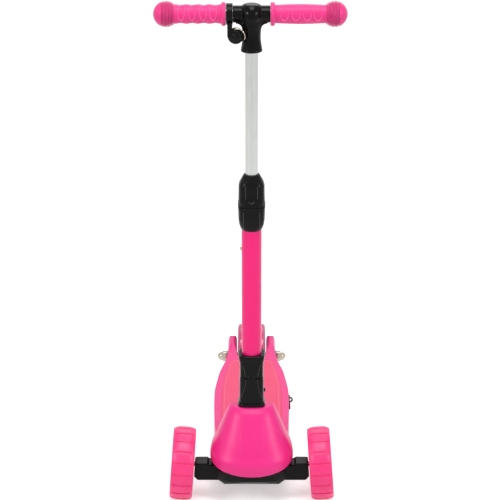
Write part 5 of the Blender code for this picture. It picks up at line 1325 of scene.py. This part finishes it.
collarShape = {
    "bottom": 0.2997,
    "seam": 0.3402,
    "top": 0.3912,
    "step": 0.0016,
    "lowerBore": 0.0163,
    "mouth": 0.0103,
    "panel": (0.0092, 0.0140, 0.0375, 0.0007),
    "vee": (0.0050, 0.0070, 0.0006),
}


def makeCollars():
    shape = collarShape
    bottom, seam, top = shape["bottom"], shape["seam"], shape["top"]
    lower = [
        (bottom, 0.0155, 2.0),
        (bottom + 0.0006, 0.0163, 2.1),
        (bottom + 0.0014, 0.0168, 2.1),
        (bottom + 0.0050, 0.0182, 2.6),
        (bottom + 0.0110, 0.0199, 3.2),
        (bottom + 0.0190, 0.0209, 3.4),
        (seam - 0.0035, 0.0214, 3.2),
        (seam - 0.0022, 0.0217, 2.8),
        (seam - 0.0008, 0.0218, 2.5),
        (seam - 0.00015, 0.0213, 2.4),
    ]
    upper = [
        (seam + 0.00015, 0.0213, 2.4),
        (seam + 0.0008, 0.0219, 2.4),
        (seam + 0.0048, 0.0219, 2.4),
        (seam + 0.0056, 0.0215, 2.6),
        (seam + 0.0070, 0.0210, 3.2),
        (seam + 0.0330, 0.0205, 3.2),
        (seam + 0.0380, 0.0191, 3.0),
        (seam + 0.0435, 0.0164, 2.6),
        (seam + 0.0490, 0.0134, 2.1),
        (top - 0.0004, 0.0126, 2.0),
        (top, 0.0121, 2.0),
    ]
    collars = ("collar_lower", "collarLower", lower), ("collar_twist", "collarTwist", upper)
    for node, name, rows in collars:
        rings = []
        for height in heightsAlong(rows, lambda rise: max(1, round(rise / shape["step"]))):
            rings.append(collarRing(*alongRows(rows, height), height, seam))
        rings.append(collarRing(rows[-1][1], rows[-1][2], rows[-1][0], seam))
        collar = loftPiece(name, rings, stemFrame)
        if node == "collar_lower":
            joinCut(collar, rodPiece("lowerBore", shape["lowerBore"], 0.06, stemPlace(bottom - 0.005), 64))
        else:
            joinCut(collar, rodPiece("twistBore", shape["lowerBore"], 0.051, stemPlace(seam - 0.0097), 64))
            joinCut(collar, rodPiece("twistMouth", shape["mouth"], 0.05, stemPlace(top - 0.02), 64))
        finish(collar, satinBlackAbs, "black_plastic", [node], 34.0)


def collarRing(half, power, height, seam):
    # a sunk panel on the front of the twist collar, with a short V under it
    panelHalf, low, high, depth = collarShape["panel"]
    veeHalf, veeAt, veeRise = collarShape["vee"]
    ring = []
    for x, y, z in roundedRing(half, half, power, height, 120):
        if y < 0:
            wide = blendStep((panelHalf - abs(x)) / 0.0008)
            tall = blendStep((height - seam - low) / 0.0010)
            tall *= 1 - blendStep((height - seam - high) / 0.0016)
            y += depth * wide * tall
            leg = abs(height - (seam + veeAt + abs(x) * 0.9))
            y -= veeRise * (1 - blendStep((leg - 0.0004) / 0.0008)) * blendStep((veeHalf - abs(x)) / 0.0006)
        ring.append((x, y, z))
    return ring


tubeShape = {
    "lower": (0.016, 0.0135, 0.0583, 0.3812),
    "upper": (0.010, 0.0085, 0.176, 0.6319),
    "hole": 0.0034,
    "firstHole": 0.2666,
    "holeGap": 0.045,
}


def tubeProfile(outer, inner, low, high, ease=0.0003):
    return [
        (outer - ease, high),
        (outer, high - ease),
        (outer, low + ease),
        (outer - ease, low),
        (inner, low),
        (inner, high),
    ]


def makeTubes():
    hole, first = tubeShape["hole"], tubeShape["firstHole"]
    tube = spinPiece("lowerTube", tubeProfile(*tubeShape["lower"]), 64, stemFrame, closed=True)
    place = stemPlace(first, -0.012, 0.0, -math.pi / 2, "Y")
    joinCut(tube, rodPiece("snapHole", hole, 0.01, place, 32))
    finish(tube, pinkEnamel, "hot_pink_paint", ["lower_tube"], 40.0)
    tube = spinPiece("upperTube", tubeProfile(*tubeShape["upper"]), 64, stemFrame, closed=True)
    for i in range(3):
        place = stemPlace(first + i * tubeShape["holeGap"], -0.005, 0.0, -math.pi / 2, "Y")
        joinCut(tube, rodPiece("heightHole", hole, 0.01, place, 32))
    finish(tube, anodisedAluminium, "anodised_aluminium", ["upper_tube"], 40.0)


fenderShape = {
    "inner": 0.057,
    "outer": 0.0592,
    "half": 0.0249,
    "wall": 0.0022,
    "lip": 0.009,
    "corner": 0.005,
    "start": 28.0,
    "sweep": 130.0,
    "steps": 60,
    "barrel": 0.004,
    "bore": 0.0023,
}


def makeFender():
    # a clear tinted channel over the wheel, with the barrel of its hinge at the front
    shape = fenderShape
    half, wall, corner = shape["half"], shape["wall"], shape["corner"]
    foot = shape["inner"] - shape["lip"]
    centre = (half - corner, shape["outer"] - corner)
    topCurve = arcPoints(centre, corner, 0, 90, 10)
    underCurve = arcPoints(centre, corner - wall, 90, 0, 10)
    right = [(half - 0.0012, foot), (half - 0.0004, foot + 0.0007), *topCurve]
    left = [(-x, r) for x, r in reversed(right)]
    inside = [*underCurve, (half - wall, foot + 0.0004), (half - wall + 0.0004, foot)]
    section = right + left + [(-x, r) for x, r in reversed(inside)] + inside
    rings, steps = [], shape["steps"]
    for i in range(steps + 1):
        angle = math.radians(shape["start"] + shape["sweep"] * i / steps)
        c, s = math.cos(angle), math.sin(angle)
        rings.append([(x, yRear + r * c, axleHeight + r * s) for x, r in section])
    fender = loftPiece("rearFender", rings)
    width = 2 * (half - 0.004)
    place = Matrix.Translation((-width / 2, *fenderPin)) @ across
    joinCut(fender, rodPiece("fenderBarrel", shape["barrel"], width, place, 40), "UNION")
    place = Matrix.Translation((-0.03, *fenderPin)) @ across
    joinCut(fender, rodPiece("fenderBore", shape["bore"], 0.06, place, 24))
    finish(fender, fenderPlastic, "pale_pink_polyurethane", ["rear_fender"], 35.0)


rearTyreShape = {"half": 0.021, "radius": 0.0527, "core": 0.040, "bead": 0.003, "shoulder": 0.006}


def makeRearTyre():
    half, radius, core, bead, shoulder = rearTyreShape.values()
    tyre = [(core, half - bead), (core + bead, half), (radius - shoulder, half)]
    tyre += arcPoints((radius - shoulder, half - shoulder), shoulder, 90, 0, 8)[1:]
    profile = tyre + [(r, -z) for r, z in reversed(tyre)]
    place = Matrix.Translation((0, yRear, axleHeight)) @ across
    wheel = spinPiece("rearTyre", profile, 120, place, closed=True)
    finish(wheel, palePolyurethane, "pale_pink_polyurethane", ["rear_tyre"], 40.0)


ridgeShape = {
    "half": 0.00055,
    "points": 10,
    "seam": (0.0040, 0.0130, 0.0521),
    "rib": (0.0128, 0.3060, 0.0290),
    "edge": (0.0092, 0.0140, 0.0235),
    "vee": (0.0048, 0.0074, 0.0042),
}
bellShape = {
    "middle": (-0.0223, -0.0186, 0.6145),
    "rim": 0.0122,
    "wire": 0.0009,
    "arc": (108, 128),
    "lineStart": (-0.0298, -0.0182, 0.6190),
    "lineRun": (0.0124, -0.0084),
}


def ridgeLine(name, path, body):
    # a thin moulded ridge, painted a little paler as a painted highlight, laid along points of the surface
    ridge = sweepPiece(name, path, ridgeShape["half"], stemFrame)
    attach(ridge, darkGreyAndPaintedHighlight, "black_plastic", body, 60.0)


def sweepPiece(name, path, half, place=None):
    rings = []
    spots = [Vector(spot) for spot in path]
    for i, spot in enumerate(spots):
        run = (spots[min(i + 1, len(spots) - 1)] - spots[max(i - 1, 0)]).normalized()
        side = run.cross(Vector((0, -1, 0))).normalized()
        lift = side.cross(run).normalized()
        taper = 0.35 if i in (0, len(spots) - 1) else 1.0
        ring = []
        for j in range(ridgeShape["points"]):
            turn = 2 * math.pi * j / ridgeShape["points"]
            ring.append(spot + half * taper * (side * math.cos(turn) + lift * 0.8 * math.sin(turn)))
        rings.append([tuple(point) for point in ring])
    return loftPiece(name, rings, place)


def makeBellTrim():
    # the plated rim of the cup shows round the black thumb plate, which has one moulded line painted paler
    # as a highlight
    middle = Vector(bellShape["middle"])
    start, sweep = bellShape["arc"]
    path = []
    for i in range(25):
        turn = math.radians(start - sweep * i / 24)
        path.append(middle + bellShape["rim"] * Vector((math.cos(turn), 0, math.sin(turn))))
    rim = sweepPiece("bellRim", path, bellShape["wire"], stemFrame)
    attach(rim, chromePlate, "chrome", bodyOf["bell_dome"], 60.0)
    x, y, z = bellShape["lineStart"]
    along, rise = bellShape["lineRun"]
    line = [(x + along * i / 8, y, z + rise * i / 8) for i in range(9)]
    ridgeLine("bellLine", line, bodyOf["bell_lever"])


sideShape = {
    "rockerOut": 0.0670,
    "rockerEdge": 0.0014,
    "flapOut": 0.0664,
    "flapEdge": 0.0010,
    "loopFoot": 0.0645,
    "loopReach": 0.0062,
    "loopHalf": 0.0044,
    "cord": (0.0013, 0.0024),
    "steps": 20,
    "points": 12,
}


def makeSideFittings():
    # a rocker switch, and a rubber flap with a pull loop over the charging socket
    shape = sideShape
    low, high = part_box("power_button")
    rocker = boxPiece("powerRocker", low, (shape["rockerOut"], high.y, high.z))
    softEdges(rocker, shape["rockerEdge"], 4, 30.0)
    finish(rocker, satinBlackAbs, "black_plastic", ["power_button"], 40.0)
    low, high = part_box("charge_cap")
    flap = boxPiece("chargeFlap", (low.x, low.y, low.z), (shape["flapOut"], high.y, high.z))
    softEdges(flap, shape["flapEdge"], 4, 30.0)
    thick, wide = shape["cord"]
    rings = []
    for i in range(shape["steps"] + 1):
        turn = math.radians(90 - 180 * i / shape["steps"])
        reach = shape["loopFoot"] + shape["loopReach"] * math.cos(turn)
        height = (low.z + high.z) / 2 + shape["loopHalf"] * math.sin(turn)
        spot = Vector((reach, (low.y + high.y) / 2, height))
        out = Vector((math.cos(turn), 0, math.sin(turn)))
        ring = []
        for j in range(shape["points"]):
            around = 2 * math.pi * j / shape["points"]
            point = spot + out * thick * math.cos(around) + Vector((0, wide * math.sin(around), 0))
            ring.append(tuple(point))
        rings.append(ring)
    joinCut(flap, loftPiece("flapLoop", rings), "UNION")
    finish(flap, blackRubber, "black_rubber", ["charge_cap"], 40.0)


def frontOf(half, halfDeep, power, x):
    return -halfDeep * (1 - min(abs(x) / half, 0.999) ** power) ** (1 / power)


# name: node, x with its change and ease, half width and depth of the face, height with its change
kneeRidges = {
    "kneeRidge": ("fold_knuckle", 0.0172, -0.0077, 0.7, 0.0193, 0.0190, 0.0800, -0.0272),
    "baseRidge": ("stem_base", 0.0092, 0.0075, 1.5, 0.0198, 0.0190, 0.0484, -0.0330),
}
ribHalves = ((0.2997, 0.0155), (0.3047, 0.0182), (0.3107, 0.0199), (0.3187, 0.0209), (0.3367, 0.0214))


def makeRidges():
    # raised lines down the knuckle and the base, along the seam, and on both collars, each painted paler as
    # a highlight
    power, steps, collarSeam = kneeShape["power"], 14, collarShape["seam"]
    for sign, side in sideName.items():
        side = side.title()
        for name, row in kneeRidges.items():
            node, spot, change, ease, half, deep, height, rise = row
            path = []
            for i in range(steps + 1):
                share = i / steps
                x = sign * (spot + change * share**ease)
                path.append((x, frontOf(half, deep, power, x) - 0.0002, height + rise * share))
            ridgeLine(name + side, path, bodyOf[node])
        start, run, height = ridgeShape["seam"]
        spots = [start + run * i / 8 for i in range(9)]
        path = [(sign * spot, frontOf(0.0190, 0.0187, power, spot), height) for spot in spots]
        ridgeLine(f"seamRidge{side}", path, bodyOf["fold_knuckle"])
        spot, start, run = ridgeShape["rib"]
        path = []
        for height in [start + run * i / 8 for i in range(9)]:
            half = alongRows(ribHalves, height)[0]
            path.append((sign * spot, frontOf(half, half, 3.3, spot) - 0.0001, height))
        ridgeLine(f"collarRib{side}", path, bodyOf["collar_lower"])
        spot, start, run = ridgeShape["edge"]
        front = frontOf(0.0206, 0.0206, 3.2, spot)
        path = [(sign * spot, front, collarSeam + start + run * i / 8) for i in range(9)]
        ridgeLine(f"collarEdge{side}", path, bodyOf["collar_twist"])
        spot, start, run = ridgeShape["vee"]
        path = [(sign * spot * i / 6, -0.0211, collarSeam + start + run * i / 6) for i in range(7)]
        ridgeLine(f"collarVee{side}", path, bodyOf["collar_twist"])


makeBonnet()
makeStemBase()
makeKnuckle()
makeCollars()
makeRidges()
makeBellTrim()
makeSideFittings()
makeTubes()
makeFender()
makeRearTyre()
print("front, stem and rear made")


studio = {
    "floorSize": 8.0,
    "floorLift": 0.47,
    "worldHex": "f4f4f4",
    "worldStrength": 0.52,
    "aim": (0, 0, 0.3),
    "lamps": (
        ("leftPanel", (-1.6, -1.5, 1.7), 0.5, 16.0),
        ("rightPanel", (1.7, -1.4, 1.5), 0.5, 12.0),
        ("topPanel", (0.1, -0.5, 2.6), 1.0, 23.0),
        ("backPanel", (0.3, 1.9, 2.0), 1.4, 10.0),
    ),
}


def seenByEye(tree):
    # 1 for what the camera sees, straight, mirrored or through a clear part, and 0 for lighting
    rays = addNode(tree, "ShaderNodeLightPath").outputs
    larger = {"operation": "MAXIMUM"}
    mirrored = addNode(tree, "ShaderNodeMath", larger, {0: rays["Is Camera Ray"], 1: rays["Is Glossy Ray"]})
    links = {0: mirrored.outputs[0], 1: rays["Is Transmission Ray"]}
    return addNode(tree, "ShaderNodeMath", larger, links).outputs[0]


def floorPaper(name):
    # matt seamless paper; it shows white to the camera away from the object's shadow
    material, tree, shader, place = startMaterial(name, {"Roughness": 0.95, "Specular IOR Level": 0.1})
    grain = addNode(tree, "ShaderNodeTexNoise", {"Scale": 160.0, "Detail": 2.0}, {"Vector": place})
    mixed = {"data_type": "RGBA", 6: toLinear("f0f0f0"), 7: toLinear("f6f6f6")}
    colour = addNode(tree, "ShaderNodeMix", mixed, {"Factor": grain.outputs["Fac"]})
    tree.links.new(colour.outputs[2], shader.inputs["Base Color"])
    share = {"operation": "MULTIPLY", 1: studio["floorLift"]}
    lift = addNode(tree, "ShaderNodeMath", share, {0: seenByEye(tree)})
    glow = addNode(tree, "ShaderNodeEmission", {"Color": (1, 1, 1, 1)}, {"Strength": lift.outputs[0]})
    both = addNode(tree, "ShaderNodeAddShader", links={0: shader.outputs["BSDF"], 1: glow.outputs[0]})
    sheet = next(node for node in tree.nodes if node.type == "OUTPUT_MATERIAL")
    tree.links.new(both.outputs[0], sheet.inputs["Surface"])
    return material


def makeStudio():
    clearSelection()
    bpy.ops.mesh.primitive_plane_add(size=studio["floorSize"], location=(0, 0, 0))
    floor = bpy.context.object
    floor.name = "studioFloor"
    floor.data.materials.append(floorPaper("matteFloorPaper"))

    world = bpy.data.worlds.new("softWorld")
    bpy.context.scene.world = world
    world.use_nodes = True
    tree = world.node_tree
    tree.nodes.clear()
    dim = {"Color": toLinear(studio["worldHex"]), "Strength": studio["worldStrength"]}
    soft = addNode(tree, "ShaderNodeBackground", dim).outputs[0]
    white = addNode(tree, "ShaderNodeBackground", {"Color": (1, 1, 1, 1), "Strength": 1.0}).outputs[0]
    both = addNode(tree, "ShaderNodeMixShader", links={0: seenByEye(tree), 1: soft, 2: white})
    addNode(tree, "ShaderNodeOutputWorld", links={"Surface": both.outputs[0]})

    for name, spot, size, watts in studio["lamps"]:
        light = bpy.data.lights.new(name, "AREA")
        light.shape = "SQUARE"
        light.size = size
        light.energy = watts
        lamp = bpy.data.objects.new(name, light)
        bpy.context.scene.collection.objects.link(lamp)
        aim = Vector(studio["aim"]) - Vector(spot)
        lamp.matrix_world = Matrix.Translation(spot) @ aim.to_track_quat("-Z", "Y").to_matrix().to_4x4()


camera = {
    "lens": 140.4,
    "sensor": 36.0,
    "place": (0.0, -3.0049, 1.6282),
    "pitch": 67.0,
    "shift": -0.0032,
    "clip": (0.05, 50.0),
}


def makeCamera():
    lens = bpy.data.cameras.new("photoCamera")
    lens.lens = camera["lens"]
    lens.sensor_width = camera["sensor"]
    lens.shift_x = camera["shift"]
    lens.clip_start, lens.clip_end = camera["clip"]
    eye = bpy.data.objects.new("photoCamera", lens)
    bpy.context.scene.collection.objects.link(eye)
    turn = Matrix.Rotation(math.radians(camera["pitch"]), 4, "X")
    eye.matrix_world = Matrix.Translation(camera["place"]) @ turn
    bpy.context.scene.camera = eye


makeStudio()
makeCamera()
bpy.context.scene.view_settings.view_transform = "Standard"
print("scene ready")
